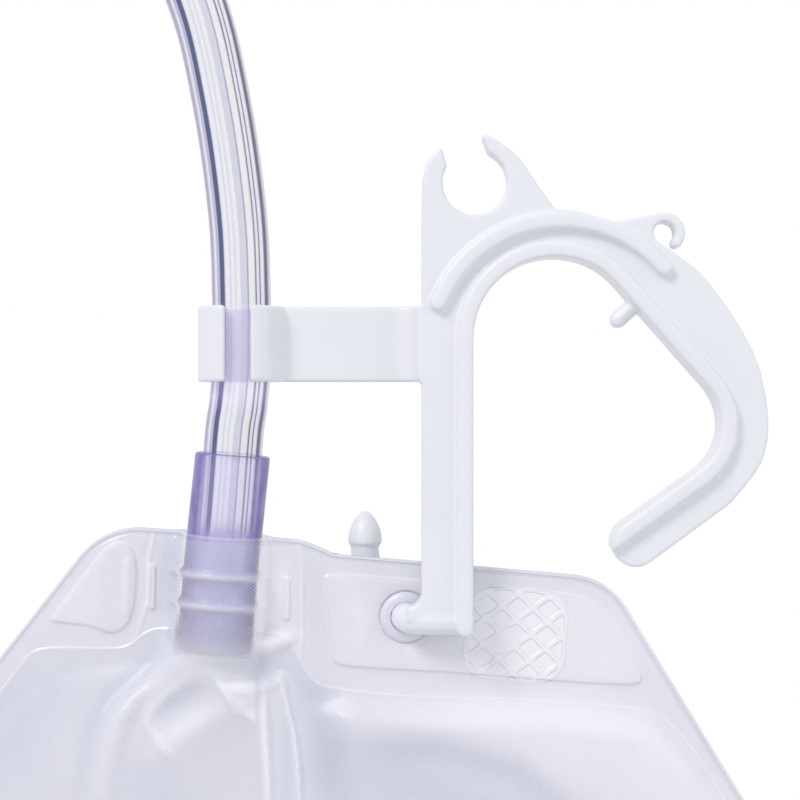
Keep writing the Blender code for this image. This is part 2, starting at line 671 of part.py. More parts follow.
class Film:
    """One bag wall: a plane triangulation raised by the pieces it wraps."""

    def __init__(self, puff):
        self.puff = puff
        self.points = []
        self.raised = []
        self.edges = []
        self.chamber = chamber_corners()
        self.inlet_r = BARB_R + 2 * GAP
        self.port_r = PORT_R + 2 * GAP

    def chain(self, points, raised=None, closed=True):
        start = len(self.points)
        for point in points:
            self.points.append(Vector(point))
            self.raised.append(raised)
        count = len(self.points) - start
        for k in range(count if closed else count - 1):
            self.edges.append((start + k, start + (k + 1) % count))

    def dome(self, u, v):
        ease = min(1.0, max(0.0, depth_inside(self.chamber, u, v) / CHAMBER_EASE))
        return self.puff * math.sqrt(1 - (1 - ease) ** 2)

    def inlet_spread(self, v):
        """How far the film has eased off the inlet connector at v."""
        return min(1.0, max(0.0, (INLET_BOTTOM - 1 * MM - v) / (60 * MM)))

    def inlet_width(self, v):
        return self.inlet_r * (1 + 1.6 * self.inlet_spread(v))

    def arch(self, share):
        share = abs(share)
        if share < 0.93:
            return math.sqrt(1 - share ** 2)
        return max(0.0, math.sqrt(1 - 0.93 ** 2) * (1.1 - share) / (1.1 - 0.93))

    def height(self, u, v):
        spread = self.inlet_spread(v)
        inlet = self.inlet_r * (1 - 0.45 * spread) * self.arch((u - INLET_U) / self.inlet_width(v))
        if v < -90 * MM:
            inlet = 0.0
        port = 0.0
        if v < PORT_TOP + 6 * MM:
            port = self.port_r * self.arch(u / self.port_r)
        return max(self.dome(u, v), inlet, port)

    def lay_out(self, embossed):
        inlet_columns = [INLET_U + share * self.inlet_r for share in SLEEVE_COLUMNS]
        port_columns = [share * self.port_r for share in SLEEVE_COLUMNS]
        outline = subdivided(bag_outline(), 45 * MM)
        outline = with_columns(outline, inlet_columns, -10 * MM, 10 * MM)
        outline = with_columns(outline, port_columns, -1, -200 * MM)
        self.chain(outline)
        self.lay_chamber()
        top = dict((round(u, 7), v) for u, v in outline if v > -10 * MM)
        rows = [INLET_BOTTOM - drop * MM for drop in (-12, 0, 6, 14, 26, 42, 62)]
        for share, column in zip(SLEEVE_COLUMNS, inlet_columns):
            chain = [(column, top[round(column, 7)])]
            chain += [(INLET_U + share * self.inlet_width(v), v) for v in rows]
            self.chain(chain, closed=False)
        for column in port_columns:
            self.chain([(column, -BAG_HEIGHT), (column, -BAG_HEIGHT + 7 * MM),
                        (column, PORT_TOP + 5 * MM)], closed=False)
        self.lay_pad()
        if embossed:
            self.lay_emboss()

    def near_fitting(self, point):
        """True where the inlet's or the outlet's own lines shape the film."""
        near_inlet = (abs(point.x - INLET_U) < 1.1 * self.inlet_width(point.y) + 1.5 * MM
                      and point.y > INLET_BOTTOM - 64 * MM)
        near_port = abs(point.x) < 1.1 * self.port_r + 1.5 * MM and point.y < PORT_TOP + 8 * MM
        return near_inlet or near_port

    def lay_chamber(self):
        for inset in CHAMBER_INSETS:
            corners = inset_corners(self.chamber, inset * MM)
            ring = [Vector(point) for point in subdivided(corners, 26 * MM)]
            run = []
            for point in ring + [ring[0]]:
                if self.near_fitting(point):
                    if len(run) > 1:
                        self.chain(run, closed=False)
                    run = []
                else:
                    run.append(tuple(point))
            if len(run) > 1:
                self.chain(run, closed=False)

    def lay_pad(self):
        """The eyelet's hole and the flat weld round it."""
        self.chain(arc(EYELET_U, EYELET_V, self.hole_r(), 0, 345, 23), 0.0)
        self.chain(arc(EYELET_U, EYELET_V, EYELET_BORE + PAD_WIDTH, 0, 345, 23), 0.0)

    def hole_r(self):
        return EYELET_BORE + EYELET_NECK + GAP

    def lay_emboss(self):
        """Puffed pockets, bead bars and the lattice weld of the header."""
        for corners in (RIGHT_POCKET, LEFT_POCKET):
            scaled = [(u * MM, v * MM, r * MM) for u, v, r in corners]
            middle = sum((Vector(c[:2]) for c in scaled), Vector((0, 0))) / len(scaled)
            shrunk = []
            for u, v, radius in scaled:
                inward = middle - Vector((u, v))
                shrunk.append((u + math.copysign(EMBOSS_SLOPE, inward.x),
                               v + math.copysign(EMBOSS_SLOPE, inward.y), radius))
            self.chain(subdivided(rounded_polygon(scaled, 3), 12 * MM), 0.0)
            self.chain(subdivided(rounded_polygon(shrunk, 3), 12 * MM), EMBOSS)
        rim = EYELET_BORE + PAD_WIDTH + EMBOSS_SLOPE
        self.chain(arc(EYELET_U, EYELET_V, rim, 0, 345, 23), EMBOSS)
        for u in BAR_COLUMNS:
            for half, raised in ((BEAD_HALF, 0.0), (BEAD_HALF / 2, EMBOSS)):
                bar = [(u - half, BEAD_TOP, BEAD_ROUND), (u + half, BEAD_TOP, BEAD_ROUND),
                       (u + half, BEAD_BOTTOM, BEAD_ROUND), (u - half, BEAD_BOTTOM, BEAD_ROUND)]
                self.chain(rounded_polygon(bar, 1), raised)
        for column in range(-2, 4):
            for row in range(-3, 3):
                u = LATTICE_U + LATTICE_COLUMN * column
                v = LATTICE_V + LATTICE_ROW * row
                if (column + row) % 2 or (column, row) == (-1, -1):
                    continue
                for share, raised in ((0.8, EMBOSS), (0.62, 0.1 * MM)):
                    across = LATTICE_COLUMN * share
                    up = LATTICE_ROW * share
                    self.chain([(u + across, v), (u, v + up), (u - across, v), (u, v - up)], raised)

    def surface(self, side):
        """The triangulated wall; side is -1 for the front and 1 for the back."""
        scaled = [point * 1000 for point in self.points]
        found = delaunay_2d_cdt(scaled, self.edges, [], 1, 1e-4)
        places, _, triangles, sources = found[:4]
        mesh = bmesh.new()
        verts = []
        for place, source in zip(places, sources):
            u, v = place.x * MM, place.y * MM
            raised = [self.raised[k] for k in source if self.raised[k] is not None]
            height = self.height(u, v) + (max(raised) if raised else 0.0)
            y = FILM_Y + side * (GAP / 2 + height)
            verts.append(mesh.verts.new((u, y, v)))
        eyelet = Vector((EYELET_U, EYELET_V))
        for triangle in triangles:
            corners = [verts[k] for k in triangle]
            middle = sum((Vector((c.co.x, c.co.z)) for c in corners), Vector((0, 0))) / 3
            if (middle - eyelet).length > self.hole_r() * 0.98:
                mesh.faces.new(corners)
        loose = [vert for vert in mesh.verts if not vert.link_faces]
        bmesh.ops.delete(mesh, geom=loose, context="VERTS")
        for face in mesh.faces:
            face.normal_update()
            if face.normal.y * side < 0:
                face.normal_flip()
        return mesh


def make_film(name, side, puff, embossed, parts, pivot):
    film = Film(puff)
    film.lay_out(embossed)
    data = bpy.data.meshes.new(name)
    mesh = film.surface(side)
    mesh.to_mesh(data)
    mesh.free()
    data.shade_smooth()
    item = add_object(name, data, parts, CLEAR_FILM)
    wall = item.modifiers.new("thickness", "SOLIDIFY")
    wall.thickness = FILM
    wall.offset = 1.0
    hang(item, pivot)
    return item


def make_grommet(parts, pivot):
    """The moulded ring through both films that the foot runs in."""
    neck = EYELET_BORE + EYELET_NECK
    brim = EYELET_BORE + EYELET_BRIM
    inner = FILM + GAP * 1.5
    outer = inner + EYELET_BRIM_THICK
    profile = [(EYELET_BORE, outer), (brim - 0.2 * MM, outer), (brim, outer - 0.2 * MM), (brim, inner),
               (neck, inner), (neck, -inner), (brim, -inner), (brim, -outer + 0.2 * MM),
               (brim - 0.2 * MM, -outer), (EYELET_BORE, -outer)]
    ring = turned("eyelet_grommet", profile, parts, CLEAR_FILM, 32)
    hang(ring, pivot, EYELET_U, FILM_Y, EYELET_V, (math.pi / 2, 0, 0))
    return ring


def make_connector(parts, pivot):
    """Soft violet sleeve: the tube plugs in above, the films weld on below."""
    bore = TUBE_R + GAP
    profile = [(INLET_R - 0.25 * MM, INLET_TOP), (INLET_R, INLET_TOP - 0.3 * MM)]
    for centre in (-5.3 * MM, -10.4 * MM):
        profile += [(INLET_R, centre + 0.9 * MM), (BARB_R, centre + 0.35 * MM),
                    (BARB_R, centre - 0.35 * MM), (INLET_R, centre - 0.9 * MM)]
    profile += [(INLET_R, INLET_BOTTOM), (LUMEN_R, INLET_BOTTOM), (LUMEN_R, INLET_SHOULDER),
                (bore, INLET_SHOULDER), (bore, INLET_TOP)]
    sleeve = turned("inlet_connector", profile, parts, VIOLET_CONNECTOR, 32)
    hang(sleeve, pivot, INLET_U, FILM_Y, 0)
    return sleeve


def make_valve_film(name, side, parts, pivot):
    """Half of the flattened sleeve that lets urine in and not back."""
    top_r = INLET_R + GAP
    rows = 7
    columns = 14
    mesh = bmesh.new()
    grid = []
    for row in range(rows + 1):
        t = row / rows
        ease = t * t * (3 - 2 * t)
        depth = top_r + (VALVE_LIP - top_r) * ease
        width = top_r + top_r * (math.pi / 2 - 1) * ease
        if row == 0:
            v = VALVE_TOP
        else:
            v = VALVE_TOP - VALVE_GRIP - (VALVE_LENGTH - VALVE_GRIP) * (row - 1) / (rows - 1)
        if row == 1:
            depth = width = top_r
        ring = []
        for column in range(columns + 1):
            angle = math.radians(3 + 174 * column / columns)
            ring.append(mesh.verts.new((width * math.cos(angle), side * depth * math.sin(angle), v)))
        grid.append(ring)
    for upper, lower in zip(grid, grid[1:]):
        for k in range(columns):
            mesh.faces.new((upper[k], upper[k + 1], lower[k + 1], lower[k]))
    for face in mesh.faces:
        face.normal_update()
        if face.normal.y * side < 0:
            face.normal_flip()
    data = bpy.data.meshes.new(name)
    mesh.to_mesh(data)
    mesh.free()
    data.shade_smooth()
    item = add_object(name, data, parts, CLEAR_FILM)
    wall = item.modifiers.new("thickness", "SOLIDIFY")
    wall.thickness = VALVE_FILM
    wall.offset = 1.0
    hang(item, pivot, INLET_U, FILM_Y, 0)
    return item


def cylinder(name, radius, high, low, tools, steps, edge=0.0):
    """A closed cylinder about Z for a boolean, with its rims chamfered."""
    profile = [(0, high), (radius - edge, high)]
    if edge:
        profile += [(radius, high - edge), (radius, low + edge)]
    profile += [(radius - edge, low), (0, low)]
    return as_mesh(turned(name, profile, tools, steps=steps))


def make_drain(parts, tools, pivot):
    """Outlet port, drain tube and the body of the push-pull valve."""
    stop = PORT_R + PORT_FLANGE
    upper = -BAG_HEIGHT - 1.5 * MM
    lower = upper - PORT_FLANGE_THICK
    profile = [(PORT_R - 0.3 * MM, PORT_TOP), (PORT_R, PORT_TOP - 0.4 * MM),
               (PORT_R, upper), (stop, upper), (stop, lower), (PORT_R, lower),
               (PORT_R, PORT_BOTTOM), (PORT_BORE, PORT_BOTTOM), (PORT_BORE, PORT_TOP)]
    port = turned("outlet_port", profile, parts, CLEAR_TUBE, 28)
    hang(port, pivot, 0, FILM_Y, 0)

    bore = PORT_R + GAP
    bottom = DRAIN_TUBE_TOP - DRAIN_TUBE_LENGTH
    profile = [(bore + DRAIN_TUBE_WALL, DRAIN_TUBE_TOP), (bore + DRAIN_TUBE_WALL, bottom),
               (bore, bottom), (bore, DRAIN_TUBE_TOP)]
    tube = turned("drain_tube", profile, parts, CLEAR_TUBE, 28)
    hang(tube, pivot, 0, FILM_Y, 0)

    collar = bottom - GAP
    spout_end = VALVE_V - VALVE_R - SPOUT_LENGTH
    collar_r = bore + DRAIN_TUBE_WALL
    spigot = bottom + VALVE_SPIGOT
    profile = [(0.0, spigot + 1 * MM), (PORT_R - 0.4 * MM, spigot + 1 * MM), (PORT_R, spigot),
               (PORT_R, collar), (collar_r, collar), (collar_r, VALVE_V + 2 * MM),
               (PORT_R, VALVE_V), (PORT_R, spout_end + 4 * MM), (PORT_R - 0.7 * MM, spout_end),
               (0.0, spout_end)]
    body = as_mesh(turned("drain_valve_body", profile, parts, steps=28))
    paint(body, BLUE_VALVE)
    across = Matrix.Translation((0, 0, VALVE_V)) @ Matrix.Rotation(math.pi / 2, 4, "Y")
    barrel = cylinder("drain_barrel", VALVE_R, VALVE_HALF, -VALVE_HALF, tools, 32, PUSH_EDGE)
    barrel.matrix_world = across
    boolean(body, barrel, "UNION")
    past_end = VALVE_HALF + 5 * MM
    gallery = cylinder("drain_gallery", PLUNGER_R + PLUNGER_FIT, past_end, -past_end, tools, 28)
    gallery.matrix_world = across
    boolean(body, gallery, "DIFFERENCE")
    for name, high, low in (("drain_inlet_bore", bottom + 20 * MM, VALVE_V + 1 * MM),
                            ("drain_spout_bore", VALVE_V - 1 * MM, spout_end - 5 * MM)):
        way = cylinder(name, SPOUT_BORE, high, low, tools, 20)
        boolean(body, way, "DIFFERENCE")
        hang(way, pivot, 0, FILM_Y, 0)
    hang(body, pivot, 0, FILM_Y, 0)
    for tool in (barrel, gallery):
        turn = tool.matrix_world.to_euler()
        hang(tool, pivot, 0, FILM_Y, VALVE_V, turn)
    return body


def make_plunger(parts, pivot):
    """The sliding plunger, its two push faces and its three seal rings."""
    face = VALVE_HALF + GAP
    left = -face - PLUNGER_TRAVEL
    groove = SEAL_R + GAP
    groove_r = PLUNGER_R + PLUNGER_FIT - 2 * SEAL_R - 2 * GAP
    waist = -PLUNGER_TRAVEL
    seals = [waist + step for step in SEAL_STEPS]
    rim_r = VALVE_R - PUSH_EDGE
    end = left - PUSH_FACE
    profile = [(0, end), (rim_r, end), (VALVE_R, end + PUSH_EDGE), (VALVE_R, left), (PLUNGER_R, left)]
    for k, place in enumerate(seals):
        profile += [(PLUNGER_R, place - groove), (groove_r, place - groove),
                    (groove_r, place + groove), (PLUNGER_R, place + groove)]
        if k == 0:
            slope = WAIST_HALF + 0.8 * MM
            profile += [(PLUNGER_R, waist - slope), (WAIST_R, waist - WAIST_HALF),
                        (WAIST_R, waist + WAIST_HALF), (PLUNGER_R, waist + slope)]
    end = face + PUSH_FACE
    profile += [(PLUNGER_R, face), (VALVE_R, face), (VALVE_R, end - PUSH_EDGE), (rim_r, end), (0, end)]
    profile = list(reversed(profile))
    turn = (0, math.pi / 2, 0)
    plunger = turned("drain_plunger", profile, parts, WHITE_MOULDING, 24)
    hang(plunger, pivot, 0, FILM_Y, VALVE_V, turn)
    major = groove_r + GAP + SEAL_R
    for k, place in enumerate(seals):
        seal = turned("plunger_seal_%d" % (k + 1), arc(major, 0, SEAL_R, 0, -315, 7), parts,
                      SEAL_RUBBER, 20)
        hang(seal, pivot, place, FILM_Y, VALVE_V, turn)


def make_coil(parts):
    """The coil's outer shape and the two bands that tie it."""
    half = COIL_THICK / 2
    edge = 2.0 * MM
    profile = [(COIL_OUTER - edge, half), (COIL_OUTER, half - edge), (COIL_OUTER, edge - half),
               (COIL_OUTER - edge, -half), (COIL_INNER + edge, -half), (COIL_INNER, edge - half),
               (COIL_INNER, half - edge), (COIL_INNER + edge, half)]
    coil = turned("tube_coil", profile, parts, CLEAR_TUBE, 40)
    coil.location = (COIL_X, COIL_Y, COIL_Z)
    coil.rotation_euler = (-math.pi / 2, 0, 0)
    low = -half - GAP
    top = half + GAP
    near_edge = math.sqrt(COIL_INNER ** 2 - (TIE_WIDTH / 2) ** 2) - 2 * GAP
    far_edge = COIL_OUTER + GAP
    tail_edge = COIL_Z - TAIL_Z + TUBE_R + GAP
    tail_top = TAIL_Y - COIL_Y + TUBE_R + GAP
    plain = [(near_edge, low), (far_edge, low), (far_edge, top), (near_edge, top)]
    over_tail = plain[:3] + [(tail_edge, tail_top), (near_edge, tail_top)]
    for name, angle, inner in (("coil_tie_top", 60.0, plain), ("coil_tie_bottom", 262.0, over_tail)):
        outer = []
        middle = sum((Vector(point) for point in inner), Vector((0, 0))) / len(inner)
        for point in inner:
            out = Vector(point) - middle
            outer.append((point[0] + math.copysign(TIE_THICK, out.x),
                          point[1] + math.copysign(TIE_THICK, out.y)))
        mesh = bmesh.new()
        near = [mesh.verts.new((r, -TIE_WIDTH / 2, y)) for r, y in inner]
        wide = [mesh.verts.new((r, -TIE_WIDTH / 2, y)) for r, y in outer]
        faces = []
        for k in range(len(inner)):
            faces.append(mesh.faces.new((near[k - 1], near[k], wide[k], wide[k - 1])))
        drawn = bmesh.ops.extrude_face_region(mesh, geom=faces)
        moved = [part for part in drawn["geom"] if isinstance(part, bmesh.types.BMVert)]
        bmesh.ops.translate(mesh, verts=moved, vec=(0, TIE_WIDTH, 0))
        tie = mesh_object(name, mesh, parts, TIE_FILM)
        spin = math.radians(angle)
        tie.matrix_world = (Matrix.Translation((COIL_X, COIL_Y, COIL_Z))
                            @ Matrix.Rotation(-spin, 4, "Y") @ Matrix.Rotation(-math.pi / 2, 4, "X"))


def make_catheter_end(parts):
    """The tapered catheter connector on the tube's end, and its cap."""
    bore = TUBE_R + GAP
    step = 7.0 * MM
    profile = [(bore, -12 * MM), (6.2 * MM, -12 * MM), (6.2 * MM, -0.2 * MM), (7.2 * MM, 0),
               (7.2 * MM, 2.4 * MM), (5.6 * MM, 2.8 * MM), (5.6 * MM, 13 * MM), (4.9 * MM, 13.4 * MM)]
    for k in range(4):
        start = 13.4 * MM + step * k
        radius = (4.9 - 0.45 * k) * MM
        profile += [(radius - 0.7 * MM, start + step - 1.2 * MM), (radius - 0.45 * MM, start + step)]
    end = 13.4 * MM + 4 * step
    profile += [(1.9 * MM, end), (1.9 * MM, GAP + 1.5 * MM), (bore, GAP)]
    profile = list(reversed(profile))
    turn = (0, math.pi / 2, 0)
    connector = turned("catheter_connector", profile, parts, WHITE_MOULDING, 24)
    connector.location = (TAIL_X, TAIL_Y, TAIL_Z)
    connector.rotation_euler = turn

    inner = 4.9 * MM + GAP
    mouth = 13.4 * MM + GAP
    tip = end + 2 * MM
    profile = [(inner, mouth), (7.0 * MM, mouth), (7.0 * MM, mouth + 2 * MM), (6.5 * MM, mouth + 2.4 * MM),
               (5.6 * MM, tip), (5.0 * MM, tip + 1.4 * MM), (0, tip + 1.6 * MM), (0, tip),
               (inner - 1.4 * MM, tip), (inner, mouth + 10 * MM)]
    cap = turned("connector_cap", list(reversed(profile)), parts, CLEAR_TUBE, 28)
    cap.location = (TAIL_X, TAIL_Y, TAIL_Z)
    cap.rotation_euler = turn


def make_tube(parts):
    """The inlet tube's free run and its short end over the coil."""
    route = [bag_point(INLET_U, v) for v in (INLET_SHOULDER + GAP, INLET_TOP / 2, INLET_TOP + GAP)]
    route += [Vector(point) * MM for point in TUBE_ROUTE]
    rod("inlet_tube", smooth_route(route, 2), TUBE_R, 3, parts, CLEAR_TUBE)
    end = [Vector((COIL_X + x, TAIL_Y, TAIL_Z + rise)) for x, rise in TAIL_START]
    end.append(Vector((TAIL_X, TAIL_Y, TAIL_Z)))
    rod("tube_end", smooth_route(end, 2), TUBE_R, 3, parts, CLEAR_TUBE)


def build():
    clear_scene()
    parts = make_collection("urine_drainage_bag")
    tools = make_collection("cutters")
    pivot = bag_pivot()
    make_hanger(parts, tools)
    make_film("front_film", -1, FRONT_PUFF, True, parts, pivot)
    make_film("back_film", 1, BACK_PUFF, False, parts, pivot)
    make_grommet(parts, pivot)
    make_connector(parts, pivot)
    make_valve_film("valve_film_front", -1, parts, pivot)
    make_valve_film("valve_film_back", 1, parts, pivot)
    make_drain(parts, tools, pivot)
    make_plunger(parts, pivot)
    make_tube(parts)
    make_coil(parts)
    make_catheter_end(parts)
    bpy.context.view_layer.update()


build()
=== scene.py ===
"""The finish of a urine drainage bag that hangs on its moulded bed hanger.

Everything is in metres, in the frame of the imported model: +X is to the right,
+Z is up and -Y faces whoever looks at the front of the bag.
"""
import math

import bmesh
import bpy
import numpy as np
from mathutils import Matrix, Vector


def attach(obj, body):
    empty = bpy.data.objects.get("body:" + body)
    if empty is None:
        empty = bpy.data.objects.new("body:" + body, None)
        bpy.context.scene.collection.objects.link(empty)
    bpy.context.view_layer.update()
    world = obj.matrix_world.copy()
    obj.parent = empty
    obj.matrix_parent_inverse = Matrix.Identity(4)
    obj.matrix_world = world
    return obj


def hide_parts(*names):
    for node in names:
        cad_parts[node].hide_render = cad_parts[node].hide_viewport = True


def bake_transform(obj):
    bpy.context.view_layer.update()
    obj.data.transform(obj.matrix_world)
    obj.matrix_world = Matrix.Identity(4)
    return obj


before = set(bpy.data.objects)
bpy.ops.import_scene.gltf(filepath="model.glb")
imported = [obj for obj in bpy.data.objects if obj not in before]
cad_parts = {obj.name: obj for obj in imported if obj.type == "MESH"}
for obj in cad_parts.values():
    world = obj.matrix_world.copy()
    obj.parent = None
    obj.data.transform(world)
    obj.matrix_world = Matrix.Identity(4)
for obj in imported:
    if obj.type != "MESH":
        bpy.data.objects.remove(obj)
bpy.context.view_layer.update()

MM = 0.001


# The studio: an even pale surround, a broad lamp high on the left, a weaker
# one on the right and a floor under the bag. The camera stands straight in
# front of the hanger, 26 cm from it.
CAMERA_PLACE = (-0.02578, -0.2618, -0.02379)
SENSOR = 36
FOCAL_WIDTHS = 1563 / 800
FLOOR_Z = -0.50
FLOOR_R = 0.9

camera_data = bpy.data.cameras.new("camera")
camera_data.sensor_width = SENSOR
camera_data.lens = FOCAL_WIDTHS * SENSOR
camera_data.clip_start = 0.01
camera_data.clip_end = 20
camera = bpy.data.objects.new("camera", camera_data)
camera.location = CAMERA_PLACE
camera.rotation_euler = (math.pi / 2, 0, 0)
bpy.context.scene.collection.objects.link(camera)
bpy.context.scene.camera = camera
bpy.context.scene.view_settings.view_transform = "Standard"


def add_lamp(name, place, aim, width, power, colour):
    """A round lamp of the given width at a place, turned to its aim."""
    lamp_data = bpy.data.lights.new(name, "AREA")
    lamp_data.shape = "DISK"
    lamp_data.size = width
    lamp_data.energy = power
    lamp_data.color = colour
    lamp = bpy.data.objects.new(name, lamp_data)
    lamp.location = place
    lamp.rotation_euler = (Vector(aim) - Vector(place)).to_track_quat("-Z", "Y").to_euler()
    bpy.context.scene.collection.objects.link(lamp)


add_lamp("lamp_left", (-0.75, -0.85, 0.95), (-0.02, 0, -0.05), 0.55, 9.2, (1.0, 0.99, 0.98))
add_lamp("lamp_right", (0.95, -0.55, 0.25), (-0.02, 0, -0.10), 0.70, 1.7, (0.97, 0.98, 1.0))

def feed(tree, node, fed):
    """Links a node's inputs to sockets, or sets their plain values."""
    for key, value in fed.items():
        if isinstance(value, bpy.types.NodeSocket):
            tree.links.new(value, node.inputs[key])
        else:
            node.inputs[key].default_value = value


def put(tree, kind, fed):
    """Adds a node with its inputs fed, by name or number."""
    node = tree.nodes.new(kind)
    feed(tree, node, fed)
    return node


def reckon(tree, operation, *terms):
    """A Math node on sockets and plain numbers; gives its output socket."""
    node = tree.nodes.new("ShaderNodeMath")
    node.operation = operation
    feed(tree, node, dict(enumerate(terms)))
    return node.outputs[0]


def new_material(name, fed):
    """A material with its node tree and its shader, and the shader's plain values."""
    material = bpy.data.materials.new(name)
    material.use_nodes = True
    shader = material.node_tree.nodes["Principled BSDF"]
    feed(material.node_tree, shader, fed)
    return material, material.node_tree, shader


def show(name, mesh, material, smooth=True):
    """Puts a finished mesh in the scene under its name."""
    for face in mesh.faces:
        face.smooth = smooth
    data = bpy.data.meshes.new(name)
    mesh.to_mesh(data)
    mesh.free()
    data.materials.append(material)
    piece = bpy.data.objects.new(name, data)
    bpy.context.scene.collection.objects.link(piece)
    return piece


# The camera, and rays that go through or bounce off a piece, see plain white.
world = bpy.data.worlds.new("surround")
bpy.context.scene.world = world
world.use_nodes = True
tree = world.node_tree
surround = tree.nodes["Background"]
feed(tree, surround, {"Color": (0.97, 0.98, 1.0, 1), "Strength": 0.68})
backdrop = put(tree, "ShaderNodeBackground", {"Color": (1, 1, 1, 1), "Strength": 1.0})
rays = put(tree, "ShaderNodeLightPath", {}).outputs
seen = reckon(tree, "MAXIMUM", rays["Is Camera Ray"], rays["Is Transmission Ray"])
seen = reckon(tree, "MAXIMUM", seen, rays["Is Glossy Ray"])
mixed = put(tree, "ShaderNodeMixShader", {"Fac": seen, 1: surround.outputs[0], 2: backdrop.outputs[0]})
feed(tree, tree.nodes["World Output"], {"Surface": mixed.outputs[0]})

floor_mesh = bmesh.new()
bmesh.ops.create_circle(floor_mesh, cap_ends=True, radius=FLOOR_R, segments=96)
bmesh.ops.translate(floor_mesh, verts=floor_mesh.verts, vec=(0, 0.05, FLOOR_Z))
floor_paint = new_material("floor_paint", {"Base Color": (0.86, 0.86, 0.87, 1), "Roughness": 0.9})[0]
floor = show("floor", floor_mesh, floor_paint, False)


# Inlet tube: soft clear PVC, 10 mm outside, with stiffening ribs in its bore.
# The ribs are not modelled: their dark lines are painted shade and their pale
# ones painted highlights. It is one wall with the painted lines on its front
# half. It leaves the tube clip, goes over the top and down behind the bag into
# a flat coil, and ends in the catheter connector.
TUBE_R = 5.0 * MM
TUBE_SIDES = 40
COIL_CENTRE = (-68.0, 17.8, -175.0)
COIL_TURNS = 2.25
COIL_STEPS = 20
COIL_OUTER_R = 64.2
COIL_PITCH = 10.35
TAIL_X, TAIL_Y, TAIL_Z = -50.0, 30.7, -216.0
TAIL_END = (TAIL_X * MM, TAIL_Y * MM, TAIL_Z * MM)
FREE_ROUTE = [
    (-52.75, 4.2, -13.5), (-52.75, 4.2, -6.34), (-53.4, 4.2, 7.66), (-56, 4.3, 26.16),
    (-60.4, 4.8, 44.16), (-69.2, 6.4, 61.46), (-83.9, 8.6, 72.86), (-102.1, 11, 76.86),
    (-120.3, 13.2, 72.86), (-135, 15, 61.16), (-143.1, 16.3, 43.66), (-144.9, 17.2, 19.66),
    (-142.7, 17.8, -15.34), (-138.7, 17.8, -60.34), (-135.4, 17.8, -105.34), (-133.4, 17.8, -138.34),
]


def smooth_line(knots, step):
    """Points a step apart on the smooth curve through the knots."""
    knots = [Vector(knot) for knot in knots]
    padded = [2 * knots[0] - knots[1]] + knots + [2 * knots[-1] - knots[-2]]
    line = []
    for k in range(1, len(padded) - 2):
        before, here, there, after = padded[k - 1:k + 3]
        count = max(2, math.ceil((there - here).length / step))
        for part in range(count):
            t = part / count
            line.append(0.5 * (2 * here + (there - before) * t
                               + (2 * before - 5 * here + 4 * there - after) * t ** 2
                               + (3 * here - before - 3 * there + after) * t ** 3))
    line.append(padded[-2])
    return line


def coil_route():
    """The coil's turns, and the last third of a turn that lifts on to their back."""
    points = []
    total = round(COIL_TURNS * COIL_STEPS)
    for k in range(1, total):
        turned = k / COIL_STEPS
        angle = math.pi + turned * math.tau
        radius = COIL_OUTER_R - COIL_PITCH * turned
        lift = min(1.0, max(0.0, (k - (total - 7)) / 6))
        lift = lift * lift * (3 - 2 * lift)
        points.append((COIL_CENTRE[0] + radius * math.cos(angle),
                       COIL_CENTRE[1] + (TAIL_Y - COIL_CENTRE[1]) * lift,
                       COIL_CENTRE[2] + radius * math.sin(angle)))
    return points


def drawn_out(mesh, edges):
    """Extrudes edges; gives the new points and the edges between them."""
    grown = bmesh.ops.extrude_edge_only(mesh, edges=edges)["geom"]
    made = [part for part in grown if isinstance(part, bmesh.types.BMVert)]
    return made, [part for part in grown if isinstance(part, bmesh.types.BMEdge)
                  and part.verts[0] in made and part.verts[1] in made]


def tube_mesh(route, radius, sides, closed_ends=(0, -1)):
    """A round one-walled tube along a route, with a map of its turn and length."""
    mesh = bmesh.new()
    around = mesh.loops.layers.uv.new("UVMap")
    along = [0.0]
    for here, there in zip(route, route[1:]):
        along.append(along[-1] + (there - here).length)
    rings = [bmesh.ops.create_circle(mesh, segments=sides, radius=radius)["verts"]]
    edges = mesh.edges[:]
    for k, place in enumerate(route):
        ahead = (route[min(k + 1, len(route) - 1)] - route[max(k - 1, 0)]).normalized()
        front = Vector((0, -1, 0))
        front = (front - ahead * front.dot(ahead)).normalized()
        side = front.cross(ahead)
        if k:
            made, edges = drawn_out(mesh, edges)
            rings.append([next(edge.other_vert(vert) for edge in vert.link_edges
                               if edge.other_vert(vert) in made) for vert in rings[-1]])
        for number, vert in enumerate(rings[-1]):
            turn = math.tau * number / sides
            vert.co = place + radius * (side * math.sin(turn) - front * math.cos(turn))
    for end in closed_ends:
        mesh.faces.new(rings[end])
    places = {vert: (number, along[k]) for k, ring in enumerate(rings)
              for number, vert in enumerate(ring)}
    for face in mesh.faces:
        numbers = [places[loop.vert][0] for loop in face.loops]
        wraps = max(numbers) - min(numbers) > sides / 2
        for loop, number in zip(face.loops, numbers):
            if wraps and number == 0:
                number = sides
            loop[around].uv = (number / sides, places[loop.vert][1] * 10)
    bmesh.ops.recalc_face_normals(mesh, faces=mesh.faces)
    return mesh


def ramp(tree, value, stops):
    """A colour ramp over a value, from stops of a position and a colour."""
    node = put(tree, "ShaderNodeValToRGB", {"Fac": value})
    elements = node.color_ramp.elements
    elements.remove(elements[-1])
    for k, (position, colour) in enumerate(stops):
        stop = elements[0] if k == 0 else elements.new(position)
        stop.position = position
        stop.color = (*colour, 1)
    return node.outputs["Color"]


def mix_colours(tree, factor, first, second):
    """A colour between two, by a factor from 0 to 1."""
    node = tree.nodes.new("ShaderNodeMix")
    node.data_type = "RGBA"
    feed(tree, node, {"Factor": factor, "A": first, "B": second})
    return node.outputs["Result"]


